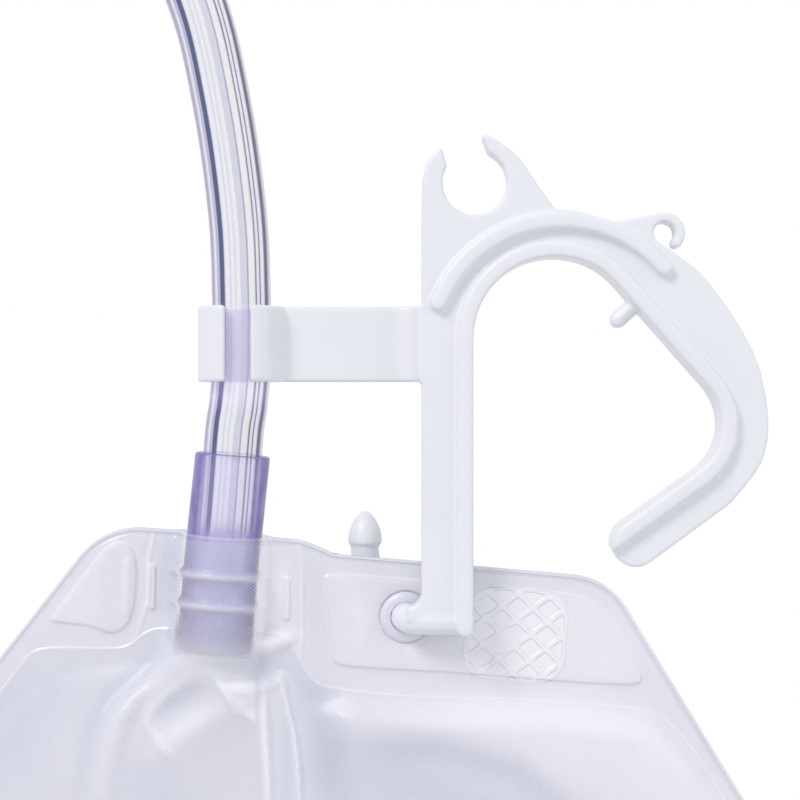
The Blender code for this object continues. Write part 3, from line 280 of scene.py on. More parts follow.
def eased(tree, value, start, end):
    """A smooth step of a value from 0 at the start to 1 at the end."""
    node = tree.nodes.new("ShaderNodeMapRange")
    node.interpolation_type = "SMOOTHSTEP"
    feed(tree, node, {"From Min": start, "From Max": end, "Value": value})
    return node.outputs["Result"]


def object_place(tree):
    """Places on the piece, in metres."""
    return put(tree, "ShaderNodeTexCoord", {}).outputs["Object"]


def noise(tree, scale, detail=2, place=None):
    """Noise from 0 to 1, over the piece itself unless a place is given."""
    fed = {"Vector": place or object_place(tree), "Scale": scale, "Detail": detail}
    return put(tree, "ShaderNodeTexNoise", fed).outputs["Fac"]


def bump(tree, height, distance, strength, under=None):
    """Fine relief, on top of another bump's where one is under it."""
    node = put(tree, "ShaderNodeBump", {"Height": height, "Distance": distance, "Strength": strength})
    if under:
        feed(tree, node, {"Normal": under})
    return node.outputs[0]


# The tube's painted lines, from its left edge to its right one as seen from the
# front: painted shade where the bore's ribs refract and painted highlights
# between them. Dark lines let less through than pale ones. Where the clip and
# the socket hold the tube, a faint painted glow (emission) stands in for the
# light that they scatter back.
PAINTED_RIB_SHADE_AND_HIGHLIGHTS = [
    (0.000, (0.50, 0.44, 0.70)), (0.171, (0.32, 0.28, 0.44)), (0.195, (0.60, 0.58, 0.74)),
    (0.220, (0.90, 0.90, 0.97)), (0.257, (0.32, 0.32, 0.50)), (0.271, (0.55, 0.55, 0.72)),
    (0.286, (0.14, 0.13, 0.30)), (0.301, (0.05, 0.05, 0.16)), (0.314, (0.07, 0.08, 0.20)),
    (0.328, (0.04, 0.06, 0.20)), (0.342, (0.08, 0.11, 0.30)), (0.359, (0.80, 0.80, 0.94)),
    (0.390, (0.98, 0.98, 1.00)), (0.418, (0.62, 0.62, 0.76)), (0.446, (1.00, 1.00, 1.00)),
    (0.468, (0.66, 0.66, 0.80)), (0.511, (1.00, 1.00, 1.00)), (0.532, (0.60, 0.61, 0.74)),
    (0.589, (0.62, 0.63, 0.76)), (0.607, (0.26, 0.27, 0.42)), (0.622, (1.00, 1.00, 1.00)),
    (0.674, (0.92, 0.92, 0.96)), (0.697, (0.07, 0.05, 0.14)), (0.718, (1.00, 1.00, 1.00)),
    (0.735, (0.78, 0.80, 0.94)), (0.749, (0.06, 0.10, 0.32)), (0.770, (0.95, 0.96, 1.00)),
    (0.792, (1.00, 1.00, 1.00)), (0.830, (0.10, 0.09, 0.20)), (0.871, (0.16, 0.14, 0.26)),
    (0.917, (0.66, 0.62, 0.80)), (1.000, (0.46, 0.40, 0.68)),
]
FRONT_MIDDLE, FRONT_HALF = 0.5, 0.56
PLAIN_WALL = (0.93, 0.92, 0.99, 1)
GRIPPED_PLACE = (-0.0535, 0.0045, -0.0290)
PAINTED_GLOW_COLOUR = (0.115, 0.10, 0.165, 1)

tube_pvc, tree, shader = new_material("clear_tube_pvc",
                                      {"Roughness": 0.08, "IOR": 1.5, "Emission Strength": 1.0})
turn_map = tree.nodes.new("ShaderNodeUVMap")
turn_map.uv_map = "UVMap"
turn = put(tree, "ShaderNodeSeparateXYZ", {0: turn_map.outputs["UV"]}).outputs["X"]
across = reckon(tree, "MULTIPLY_ADD", turn, 2.0, -0.5)
on_front = reckon(tree, "COMPARE", across, FRONT_MIDDLE, FRONT_HALF)
colour = mix_colours(tree, on_front, PLAIN_WALL, ramp(tree, across, PAINTED_RIB_SHADE_AND_HIGHLIGHTS))
paleness = put(tree, "ShaderNodeRGBToBW", {"Color": colour}).outputs["Val"]
density = put(tree, "ShaderNodeMapRange",
              {"Value": paleness, "From Min": 0.25, "To Min": 0.96, "To Max": 0.38})
from_grip = tree.nodes.new("ShaderNodeVectorMath")
from_grip.operation = "DISTANCE"
feed(tree, from_grip, {0: object_place(tree), 1: GRIPPED_PLACE})
away = from_grip.outputs["Value"]
# A painted glow: emission near the clip and the socket, though the tube is no lamp.
painted_glow = reckon(tree, "MULTIPLY", eased(tree, away, 0.0225, 0.0205), eased(tree, away, 0.0050, 0.0085))
stretch = put(tree, "ShaderNodeMapping", {"Vector": turn_map.outputs["UV"], "Scale": (44, 0.8, 1)})
feed(tree, shader, {
    "Base Color": colour,
    "Alpha": density.outputs[0],
    "Emission Color": mix_colours(tree, painted_glow, (0, 0, 0, 1), PAINTED_GLOW_COLOUR),
    "Normal": bump(tree, noise(tree, 1.0, 3, stretch.outputs[0]), 0.00008, 0.6),
})

knots = FREE_ROUTE + coil_route()
knots += [(COIL_CENTRE[0] + 6.0, TAIL_Y, TAIL_Z), (TAIL_X, TAIL_Y, TAIL_Z)]
tube_line = [point * MM for point in smooth_line(knots, 2.5)]
inlet_tube = show("inlet_tube_run", tube_mesh(tube_line, TUBE_R, TUBE_SIDES, (-1,)), tube_pvc)
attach(inlet_tube, "hanger")
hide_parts("inlet_tube", "tube_coil", "tube_end")

# The tube's last stretch, from the clip down into the inlet connector.
ROOT_ROUTE = [
    (-56, 4.9, -51.5), (-55.13, 4.9, -43.29), (-54.02, 4.8, -29.3), (-53.35, 4.6, -24.84),
    (-52.80, 4.25, -19.5), (-52.75, 4.2, -16.5), (-52.75, 4.2, -13.5),
]
root_line = [point * MM for point in smooth_line(ROOT_ROUTE, 1.5)]
tube_root = show("inlet_tube_root", tube_mesh(root_line, TUBE_R, TUBE_SIDES, (0,)), tube_pvc)
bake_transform(tube_root)


# Catheter connector and its cap, on the tube's far end behind the bag: a hard
# stepped taper that pushes into the catheter, under a clear dust cap.
def spin_profile(profile, axis_place, axis, sides=64):
    """A turned piece: (radius, distance) pairs in mm spun round an axis."""
    mesh = bmesh.new()
    line = [mesh.verts.new((radius * MM, 0, distance * MM)) for radius, distance in profile]
    edges = [mesh.edges.new(pair) for pair in zip(line, line[1:])]
    bmesh.ops.spin(mesh, geom=line + edges, cent=(0, 0, 0), axis=(0, 0, 1), dvec=(0, 0, 0),
                   angle=math.tau, steps=sides, use_merge=True)
    bmesh.ops.remove_doubles(mesh, verts=mesh.verts, dist=1e-6)
    bmesh.ops.recalc_face_normals(mesh, faces=mesh.faces)
    turn = Vector((0, 0, 1)).rotation_difference(Vector(axis)).to_matrix().to_4x4()
    bmesh.ops.transform(mesh, matrix=Matrix.Translation(axis_place) @ turn, verts=mesh.verts)
    return mesh


def sharpen(mesh, angle):
    """Marks the edges that stay crisp under smooth shading."""
    for edge in mesh.edges:
        if len(edge.link_faces) == 2 and edge.calc_face_angle() > math.radians(angle):
            edge.smooth = False
    return mesh


GRIP_RIBS = 18
GRIP_RIB_SIZE = (8.6 * MM, 0.7 * MM, 0.7 * MM)
GRIP_RIB_PLACE = (-6.2 * MM, 0, 6.25 * MM)
white_hard, tree, shader = new_material("white_hard_plastic",
                                        {"Base Color": (0.84, 0.845, 0.87, 1), "Roughness": 0.32})
feed(tree, shader, {"Normal": bump(tree, noise(tree, 900), 0.00002, 0.25)})

connector_profile = [(5.3, 0.35), (1.9, 1.8), (1.9, 41.4), (2.6, 41.4), (2.95, 41.1), (3.1, 40.2),
                     (3.55, 34.7), (3.3, 34.4), (3.5, 33.6), (4, 27.7), (3.75, 27.4), (3.95, 26.6),
                     (4.45, 20.7), (4.2, 20.4), (4.4, 19.6), (4.9, 13.7), (5.3, 13.3), (5.6, 12.9),
                     (5.6, 2.9), (6, 2.6), (7, 2.4), (7.2, 2.2), (7.2, 0.2), (6.9, 0), (6.2, -0.3),
                     (6.2, -11.8), (6, -12), (5.3, -12), (5.3, 0.35)]
connector_mesh = spin_profile(connector_profile, TAIL_END, (1, 0, 0))
catheter_end = show("catheter_connector_taper", sharpen(connector_mesh, 40), white_hard)
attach(catheter_end, "hanger")
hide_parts("catheter_connector")

grip = bmesh.new()
for k in range(GRIP_RIBS):
    angle = math.tau * k / GRIP_RIBS
    made = bmesh.ops.create_cube(grip, size=1)["verts"]
    bmesh.ops.scale(grip, vec=GRIP_RIB_SIZE, verts=made)
    bmesh.ops.translate(grip, verts=made, vec=GRIP_RIB_PLACE)
    bmesh.ops.rotate(grip, verts=made, cent=(0, 0, 0), matrix=Matrix.Rotation(angle, 3, "X"))
bmesh.ops.bevel(grip, geom=grip.edges[:] + grip.verts[:], offset=0.2 * MM, segments=2, profile=0.5,
                affect="EDGES", material=-1)
bmesh.ops.translate(grip, verts=grip.verts, vec=TAIL_END)
grip_ribs = show("catheter_connector_grip", grip, white_hard, False)
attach(grip_ribs, "hanger")

clear_cap, tree, shader = new_material("clear_dust_cap",
                                       {"Base Color": (0.66, 0.72, 0.88, 1), "Roughness": 0.18})
edge_on = put(tree, "ShaderNodeLayerWeight", {"Blend": 0.4}).outputs["Facing"]
density = put(tree, "ShaderNodeMapRange", {"Value": edge_on, "To Min": 0.35, "To Max": 0.9})
feed(tree, shader, {"Alpha": density.outputs[0]})
cap_profile = [(0, 44.9), (3, 44.7), (5, 44.1), (5.5, 43.4), (6.5, 16.2), (7, 15.7), (7, 13.8),
               (5.3, 13.7), (5.2, 14.2), (5.15, 23.7), (3.85, 43.1), (0, 43.3)]
cap_mesh = spin_profile(cap_profile, TAIL_END, (1, 0, 0))
dust_cap = show("connector_dust_cap", sharpen(cap_mesh, 40), clear_cap)
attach(dust_cap, "cap")
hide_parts("connector_cap")


# The two bands that tie the coil: closed strips of white film, pulled snug
# round the turns. The lower one also takes in the tube's tail.
TIE_WIDTH = 14.0 * MM
TIE_THICK = 0.5 * MM
TIE_STEPS = 8
TIE_RIPPLE = 0.12 * MM
TURNS_INNER, TURNS_OUTER, TURNS_DEPTH = 34.4 * MM, 69.7 * MM, 5.6 * MM
TAIL_OUTER, TAIL_DEPTH = 46.4 * MM, 18.3 * MM
tie_film, tree, shader = new_material("white_tie_film",
                                      {"Base Color": (0.84, 0.84, 0.85, 1), "Roughness": 0.55})
feed(tree, shader, {"Normal": bump(tree, noise(tree, 260, 4), 0.0002, 0.5)})


def tie_band(name, angle, corners, node):
    """A band round the coil: its section in (radius, depth) at an angle."""
    mesh = bmesh.new()
    verts = [mesh.verts.new((radius, -TIE_WIDTH / 2, depth)) for radius, depth in corners]
    mesh.faces.new(verts)
    bmesh.ops.bevel(mesh, geom=mesh.verts[:], offset=2.2 * MM, segments=6, profile=0.5,
                    affect="VERTICES", material=-1)
    rim = mesh.edges[:]
    bmesh.ops.delete(mesh, geom=mesh.faces[:], context="FACES_ONLY")
    for _ in range(TIE_STEPS):
        moved, rim = drawn_out(mesh, rim)
        bmesh.ops.translate(mesh, verts=moved, vec=(0, TIE_WIDTH / TIE_STEPS, 0))
    middle = (min(radius for radius, _ in corners) + max(radius for radius, _ in corners)) / 2
    for vert in mesh.verts:
        ripple = TIE_RIPPLE * math.sin(vert.co.y * 900 + vert.co.x * 400)
        away = Vector((vert.co.x - middle, 0, vert.co.z)).normalized()
        vert.co += away * (ripple + TIE_RIPPLE)
    bmesh.ops.recalc_face_normals(mesh, faces=mesh.faces)
    place = (Matrix.Translation(Vector(COIL_CENTRE) * MM) @ Matrix.Rotation(-math.radians(angle), 4, "Y")
             @ Matrix.Rotation(-math.pi / 2, 4, "X"))
    bmesh.ops.transform(mesh, matrix=place, verts=mesh.verts)
    band = show(name, mesh, tie_film)
    wall = band.modifiers.new("thickness", "SOLIDIFY")
    wall.thickness = TIE_THICK
    wall.offset = 1.0
    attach(band, "hanger")
    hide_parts(node)


front_side = [(TURNS_INNER, -TURNS_DEPTH), (TURNS_OUTER, -TURNS_DEPTH), (TURNS_OUTER, TURNS_DEPTH)]
snug = front_side + [(TURNS_INNER, TURNS_DEPTH)]
over_tail = front_side + [(TAIL_OUTER, TAIL_DEPTH), (TURNS_INNER, TAIL_DEPTH)]
tie_band("tie_band_upper", 60.0, snug, "coil_tie_top")
tie_band("tie_band_lower", 262.0, over_tail, "coil_tie_bottom")


# Hanger: one injection moulding in white polypropylene. A web with a deeper
# flange round the throat, a rib over the arch, the tube clip on its arm and
# the foot that carries the bag. All its edges are soft.
moulding, tree, shader = new_material("white_moulding_pp", {"Roughness": 0.38})
feed(tree, shader, {
    "Base Color": ramp(tree, noise(tree, 55, 3),
                       [(0.35, (0.805, 0.815, 0.865)), (0.65, (0.825, 0.835, 0.88))]),
    "Normal": bump(tree, noise(tree, 1400), 0.00002, 0.2),
})


def softened_copy(node, name, voxel, rounds, material):
    """A copy of a moulded part with the soft edges and fillets of the tool."""
    mesh = bmesh.new()
    mesh.from_mesh(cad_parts[node].data)
    bmesh.ops.remove_doubles(mesh, verts=mesh.verts, dist=2e-6)
    piece = show(name, mesh, material)
    remesh = piece.modifiers.new("remesh", "REMESH")
    remesh.mode = "VOXEL"
    remesh.voxel_size = voxel
    remesh.use_smooth_shade = True
    relax = piece.modifiers.new("relax", "SMOOTH")
    relax.factor = 0.5
    relax.iterations = rounds
    depsgraph = bpy.context.evaluated_depsgraph_get()
    final = bpy.data.meshes.new_from_object(piece.evaluated_get(depsgraph))
    piece.modifiers.clear()
    piece.data = final
    for polygon in final.polygons:
        polygon.use_smooth = True
    return piece


hanger = softened_copy("hanger", "hanger_moulding", 0.36 * MM, 2, moulding)
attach(hanger, "hanger")
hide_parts("hanger")


# Bag films: two sheets of PVC, calendered with a fine diagonal crosshatch and
# welded together round the chamber, the header's pockets and the sleeve over
# the inlet connector. The welds are smooth. (u, v) is the bag's own plane.
BAG_TILT = math.radians(4.5)
PIVOT = Vector((-24.85, 4.9, -60.74)) * MM
EYELET = (7.4, -10.2)
HOLE_R = 3.45
INLET_U = -24.6
SLEEVE_END_V = -18.4
BARBS_V = (-5.3, -10.4)
BARB_RISE = 0.66
FILM = 0.35
FILM_GAP = 0.15
FRONT_RISE, BACK_RISE = 8.0, 5.2
POCKET_RISE, TONGUE_RISE, BAR_RISE = 0.25, 0.20, 0.22
SLEEVE_FILM_R = 7.12
PORT_FILM_R = 5.1
HATCH_PITCH = 0.43 * MM
HUNG = (Matrix.Translation(PIVOT) @ Matrix.Rotation(BAG_TILT, 4, "Y")
        @ Matrix.Translation((-EYELET[0] * MM, 0, -EYELET[1] * MM)) @ Matrix.Scale(MM, 4))
CUT_CORNERS = [(-45, 1.4, 12), (41.4, -0.9, 12), (105, -88.7, 14), (105, -288, 14),
               (-105, -288, 14), (-105, -88.7, 14)]
CHAMBER = [(-58, -24.6), (-56, -21.4), (-53.4, -20), (-41.5, -19.5), (-39, -18.6), (-36.3, -15.9),
           (-33.5, -15.1), (-15.5, -14.6), (-11.9, -15.6), (-9.9, -19), (-7.6, -22.2), (-4.6, -23.3),
           (10.1, -23.7), (29.6, -22.3), (47.8, -22.5), (52.2, -23.6), (55.8, -26.3), (60.8, -32.2),
           (100.7, -90.2), (100.7, -281), (-100.7, -281), (-100.7, -90.2)]
LEFT_POCKET = [(-52.2, -14.4), (-53, -15.6), (-51.3, -15.8), (-45.5, -15.9), (-42.3, -17.2),
               (-39.6, -15.6), (-38.6, -12), (-38.8, -5), (-39.9, -2.1), (-41.9, -1.2),
               (-44, -2), (-45.6, -4.1)]
TONGUE = [(-45.6, -4.3), (-43.9, -2), (-41.9, -1.2), (-39.9, -2.1), (-38.8, -5), (-38.6, -12),
          (-39.6, -15.6), (-42.3, -17.2), (-45.4, -16.1)]
RIGHT_POCKET = [(-6.5, -3.7), (8.4, -3.7), (18.8, -4.1), (34.3, -3.9), (38.6, -4.6), (42.3, -7.7),
                (48.3, -16.3), (48.4, -18), (47, -18.8), (34.3, -19.1), (20.8, -18.9), (1.9, -19.4),
                (-3.2, -19.3), (-4.6, -18.3), (-4.9, -16.6), (-6.9, -5.2)]
FACET = [(-23.2, -22.6), (-17, -22.6), (-16.4, -29.2), (-19.4, -27.2)]
BARS = [[(-40.5, -4.6), (-40.1, -12.9)], [(-36.2, -5.2), (-35.8, -11.8)], [(-13.2, -5.5), (-12.8, -11.8)]]
BAR_HALF_WIDTH = 0.62
LATTICE_PLACE = (26.3, -11.9)
LATTICE_HALF = (8.6, 8)
LATTICE_POWER = 3.5
LATTICE_NODE = (26.34, -9.23)
LATTICE_CELL = (5.28, 4.5)
LATTICE_SPOT = (25.3, -12.4)

# The front film's folds: the line each follows, its width, how far it stands
# out (times FOLD_GAIN) and how much painted light (or, below nothing, painted
# shade) it puts on the film.
FOLD_GAIN = 1.2
FOLDS = [
    ([(-32.6, -15.4), (-31.8, -20.4), (-33.4, -23.4), (-37, -27), (-39.2, -30.4), (-40.4, -38.8),
      (-42, -75)], 2.4, 1.3, 0.22),
    ([(-34.4, -15), (-34.2, -20), (-36.8, -23.6), (-41.2, -27.6), (-43.6, -33), (-45, -60)],
     1.6, -0.5, -0.3),
    ([(-27.4, -22), (-31.1, -25.3), (-34.2, -28.9), (-34.3, -31.2), (-31.7, -34.4), (-27.5, -37)],
     0.9, 0.35, 0.4),
    ([(-24.5, -23), (-29.3, -27.1), (-32.6, -30.4)], 1.9, -0.6, -0.3),
    ([(-20.5, -26), (-25.4, -29.5), (-28.6, -31.8), (-32.5, -35.5)], 2.2, 0.6, 0.95),
    ([(-29, -18.6), (-24, -20.2), (-19, -21.4), (-14, -20.8), (-11, -18.6)], 2, -0.7, -0.1),
    ([(-23.6, -21.6), (-20.8, -23.4), (-17.4, -24.1), (-14.2, -23.2), (-11.6, -20.6)], 0.8, 0.5, 0.15),
    ([(-23.2, -22.2), (-21.1, -24.8), (-19.7, -26.8), (-18.2, -30)], 0.6, 0.7, 0.6),
    ([(-20.6, -23), (-18.2, -24), (-16.8, -26.6)], 1.9, 0.5, 0.2),
    ([(-18.8, -23.6), (-16.8, -26)], 1.2, 0.1, 0.45),
    ([(-15.5, -22.6), (-14.8, -28.3), (-13.8, -34.9), (-12.9, -41.6), (-10, -85)], 0.75, 1, 1),
    ([(-11.9, -24.4), (-10.8, -29), (-10.2, -36), (-8, -60)], 1.2, -0.3, -0.12),
    ([(-13, -21.6), (-11.3, -26.4), (-9.6, -31.3), (-8.5, -36.2), (-7.8, -41.2), (-3, -80)],
     0.55, 0.9, 0.8),
    ([(-9.2, -20.6), (-6.4, -26.4), (-3.6, -33.5), (-1.6, -40.6), (3, -66)], 3.2, -1.7, -0.65),
    ([(-17.6, -16.9), (-16, -16.7), (-13.7, -16), (-11, -15)], 1.4, 1, 1.3),
    ([(-4, -25.6), (14.4, -26.4), (34.3, -24.8), (49, -26.5), (60, -37)], 3.2, 0.8, 0.5),
    ([(0, -33.5), (14.9, -33), (28, -35.4), (38, -42), (56, -66)], 3.2, -1.4, -0.65),
    ([(-2, -38), (13, -39.5), (25, -43), (38, -56), (50, -80)], 6, -1.6, -0.8),
    ([(16, -52), (6, -90), (12, -150)], 7, 0.9, 0.2),
    ([(-58, -60), (-62, -120), (-52, -190)], 8, -0.9, -0.25),
    ([(48, -90), (58, -150), (44, -230)], 9, -1, -0.25),
    ([(-18, -110), (-26, -180), (-14, -255)], 6, 0.8, 0.25),
    ([(26, -170), (16, -220), (10, -270)], 6, -0.8, -0.2),
    ([(-11.9, 0.9), (-10.9, -2.6), (-9.7, -15.5), (-10.6, -19.4)], 0.3, 0.25, 0.55),
    ([(-10.3, -4), (-9.5, -14.6)], 0.25, -0.12, -0.35),
    ([(-36.2, 1), (-36.9, -3.6), (-36.5, -10.8), (-37.1, -13.4), (-38, -17)], 0.35, 0.25, 0.45),
    ([(-37.6, -0.5), (-38, -3.6)], 0.4, -0.1, -0.3),
    ([(-8, -3), (-8.5, -10), (-7.9, -17.2), (-5.6, -20.6)], 0.9, 0.1, -0.12),
    ([(-33.6, 0.5), (-33, -6), (-32.8, -14.5)], 1.8, -0.05, -0.75),
    ([(-14.9, -1.5), (-14.7, -8), (-14.6, -13.6)], 1.7, 0, 0.5),
    ([(-12, 0), (-8.6, -4), (-8.2, -14)], 2.4, 0, -0.22),
    ([(-90, -60), (-66, -38), (-52, -30)], 11, 0, -0.25),
    ([(-46, -24), (-54, -30), (-62, -44)], 5, 0, -0.22),
    ([(-27, -60), (-32, -42), (-35, -36)], 6, 0, -0.3),
    ([(30, -9), (42, -13.5), (47, -17)], 7, 0, 0.38),
    ([(20, -26.5), (46, -29), (60, -40), (84, -74)], 6.5, 0, 0.35),
    ([(-2, -7), (0.5, -12), (-0.5, -17)], 1.6, 0.12, 0.35),
    ([(-6, -5), (-5.6, -12), (-5, -18)], 1.2, 0, -0.18),
    ([(10, -14), (9, -17.5)], 1.3, 0.1, 0.4),
]
# The back film's folds, in the same columns, with their painted light and shade.
BACK_FOLDS = [
    ([(-20, -30), (0, -60), (10, -110)], 5, 0.6, 0.3),
    ([(30, -40), (40, -100), (24, -160)], 6, -0.9, -0.3),
    ([(-60, -60), (-44, -120), (-56, -200)], 7, -0.8, -0.3),
    ([(-10, -150), (6, -210), (0, -262)], 6, 0.5, 0.3),
]


def rounded_off(corners):
    """An outline with its corners cut off three times over, so it runs smoothly."""
    for _ in range(3):
        corners = [(a * here[0] + (1 - a) * there[0], a * here[1] + (1 - a) * there[1])
                   for here, there in zip(corners, corners[1:] + corners[:1]) for a in (0.75, 0.25)]
    return corners


CHAMBER, LEFT_POCKET, TONGUE, RIGHT_POCKET = [
    rounded_off(outline) for outline in (CHAMBER, LEFT_POCKET, TONGUE, RIGHT_POCKET)]


def ease(value, start, end):
    """0 before the start, 1 after the end, and smooth between them."""
    t = np.clip((value - start) / (end - start), 0, 1)
    return t * t * (3 - 2 * t)


def line_distance(u, v, points):
    """Distance to an open line, and how far along it, from 0 to 1."""
    nearest = np.full(u.shape, 1e9)
    share = np.zeros(u.shape)
    for k, ((au, av), (bu, bv)) in enumerate(zip(points, points[1:])):
        du, dv = bu - au, bv - av
        t = np.clip(((u - au) * du + (v - av) * dv) / (du * du + dv * dv), 0, 1)
        away = np.hypot(u - au - t * du, v - av - t * dv)
        closer = away < nearest
        nearest = np.where(closer, away, nearest)
        share = np.where(closer, (k + t) / (len(points) - 1), share)
    return nearest, share


def depth_in(u, v, corners):
    """How deep points lie inside an outline, negative outside it."""
    inside = np.zeros(u.shape, bool)
    for (au, av), (bu, bv) in zip(corners, corners[1:] + corners[:1]):
        crosses = (av > v) != (bv > v)
        inside ^= crosses & (u < (bu - au) * (v - av) / (bv - av + 1e-12) + au)
    nearest, _ = line_distance(u, v, corners + corners[:1])
    return np.where(inside, nearest, -nearest)

def rounded_outline(corners):
    """The cut outline with its corners rounded, clockwise from the front."""
    outline = []
    for k, (u, v, radius) in enumerate(corners):
        before = Vector((u, v)) - Vector(corners[k - 1][:2])
        after = Vector(corners[(k + 1) % len(corners)][:2]) - Vector((u, v))
        first = math.atan2(before.x, -before.y)
        last = math.atan2(after.x, -after.y)
        sweep = (first - last) % math.tau
        half = (math.pi - sweep) / 2
        middle = (-before.normalized() + after.normalized()).normalized()
        centre = Vector((u, v)) + middle * (radius / math.sin(half))
        steps = max(2, round(math.degrees(sweep) / 7))
        for step in range(steps + 1):
            angle = first - sweep * step / steps
            outline.append((centre.x + radius * math.cos(angle), centre.y + radius * math.sin(angle)))
    return outline


CUT_OUTLINE = rounded_outline(CUT_CORNERS)


def graded(marks):
    """Grid lines from (start, end, step) stretches, without repeats."""
    lines = []
    for start, end, step in marks:
        count = max(1, round(abs(end - start) / step))
        lines += [start + (end - start) * k / count for k in range(count)]
    return lines + [marks[-1][1]]


def cut_sheet(columns, rows, fine_zones):
    """A flat sheet in (u, v), trimmed to the bag's outline, finer in places."""
    mesh = bmesh.new()
    bmesh.ops.create_grid(mesh, x_segments=len(columns) - 1, y_segments=len(rows) - 1, size=0.5)
    across, up = len(columns) - 1, len(rows) - 1
    for vert in mesh.verts:
        column = round((vert.co.x + 0.5) * across)
        row = round((vert.co.y + 0.5) * up)
        vert.co = (columns[column], 0, rows[row])
    for (au, av), (bu, bv) in zip(CUT_OUTLINE, CUT_OUTLINE[1:] + CUT_OUTLINE[:1]):
        out = Vector((av - bv, 0, bu - au)).normalized()
        geometry = mesh.verts[:] + mesh.edges[:] + mesh.faces[:]
        bmesh.ops.bisect_plane(mesh, geom=geometry, dist=1e-4, plane_co=(au, 0, av), plane_no=out,
                               clear_outer=True)
    if fine_zones is not None:
        mesh.verts.index_update()
        u = np.array([vert.co.x for vert in mesh.verts])
        v = np.array([vert.co.z for vert in mesh.verts])
        fine = fine_zones(u, v)
        edges = [edge for edge in mesh.edges if fine[edge.verts[0].index] and fine[edge.verts[1].index]]
        bmesh.ops.subdivide_edges(mesh, edges=edges, cuts=1, use_grid_fill=True)
    return mesh


def bar_depth(u, v):
    """How deep points lie inside the three short embossed bars."""
    return BAR_HALF_WIDTH - np.min([line_distance(u, v, bar)[0] for bar in BARS], axis=0)


def front_fine_zones(u, v):
    """Where the front sheet's mesh is finer: outlines, lattice, neck and bars."""
    near = np.abs(depth_in(u, v, LEFT_POCKET)) < 1.1
    near |= np.abs(depth_in(u, v, RIGHT_POCKET)) < 1.1
    near |= (np.abs(depth_in(u, v, CHAMBER)) < 0.9) & (v > -34)
    near |= (np.abs(u - LATTICE_PLACE[0]) < 9.5) & (np.abs(v - LATTICE_PLACE[1]) < 9)
    near |= (np.abs(u - INLET_U) < 8.6) & (v > -20)
    near |= (u > -25) & (u < -7) & (v < -19) & (v > -45)
    near |= (u > -44) & (u < -25) & (v < -18) & (v > -40)
    near |= bar_depth(u, v) > -0.7
    return near


def top_shift(u, v):
    """The top edge stands up by the inlet and dips to its right."""
    line = 1.4 - 2.3 * (u + 45) / 86.4
    edge = np.interp(u, [-45, -11.5, -8.5, -5.5, 41.4], [1.4, 1.5, 0.6, -0.5, -0.9])
    return (edge - line) * ease(v, -4.0, 0.5)


def folded(u, v, folds, gain):
    """The relief of all the folds, and the painted light and shade along them."""
    relief = np.zeros(u.shape)
    painted_light_and_shade = np.zeros(u.shape)
    for points, width, rise, white in folds:
        away, share = line_distance(u, v, points)
        soft = np.exp(-(away / width) ** 2) * np.sin(np.pi * np.clip(share, 0.02, 0.98)) ** 0.5
        relief += gain * rise * soft
        painted_light_and_shade += white * soft
    return relief, np.clip(painted_light_and_shade, -1.2, 1.4)


def sleeve_height(u, v, radius):
    """The film drawn over the inlet connector, opening out below it."""
    open_out = np.clip((SLEEVE_END_V - 1 - v) / 26, 0, 1)
    width = radius * (1 + 1.6 * open_out)
    rise = radius * (1 - 0.45 * open_out)
    share = np.abs(u - INLET_U) / width
    round_top = np.sqrt(np.clip(1 - share ** 2, 0, 1))
    foot = np.sqrt(1 - 0.9 ** 2) * np.clip((1.13 - share) / 0.23, 0, 1) ** 1.5
    arch = np.where(share < 0.9, round_top, foot)
    return rise * arch * ease(v, -88, -60)


def filled_dome(u, v, rise):
    """The chamber's filled shape, from its distance to each side, run together."""
    left = ((u + 58) * 65.6 - (v + 24.6) * 42.7) / 78.3
    right = (-(u - 60.8) * 58.0 - (v + 32.2) * 39.9) / 70.4
    sides = (-20 - v, left, right, 100.7 - u, 100.7 + u, v + 281)
    depth = -8 * np.log(sum(np.exp(-np.clip(side, -40, 400) / 8) for side in sides))
    open_part = np.clip(depth / 50, 0, 1)
    return rise * (1 - (1 - open_part) ** 2) ** 0.85 * ease(depth_in(u, v, CHAMBER), -0.2, 5.0)


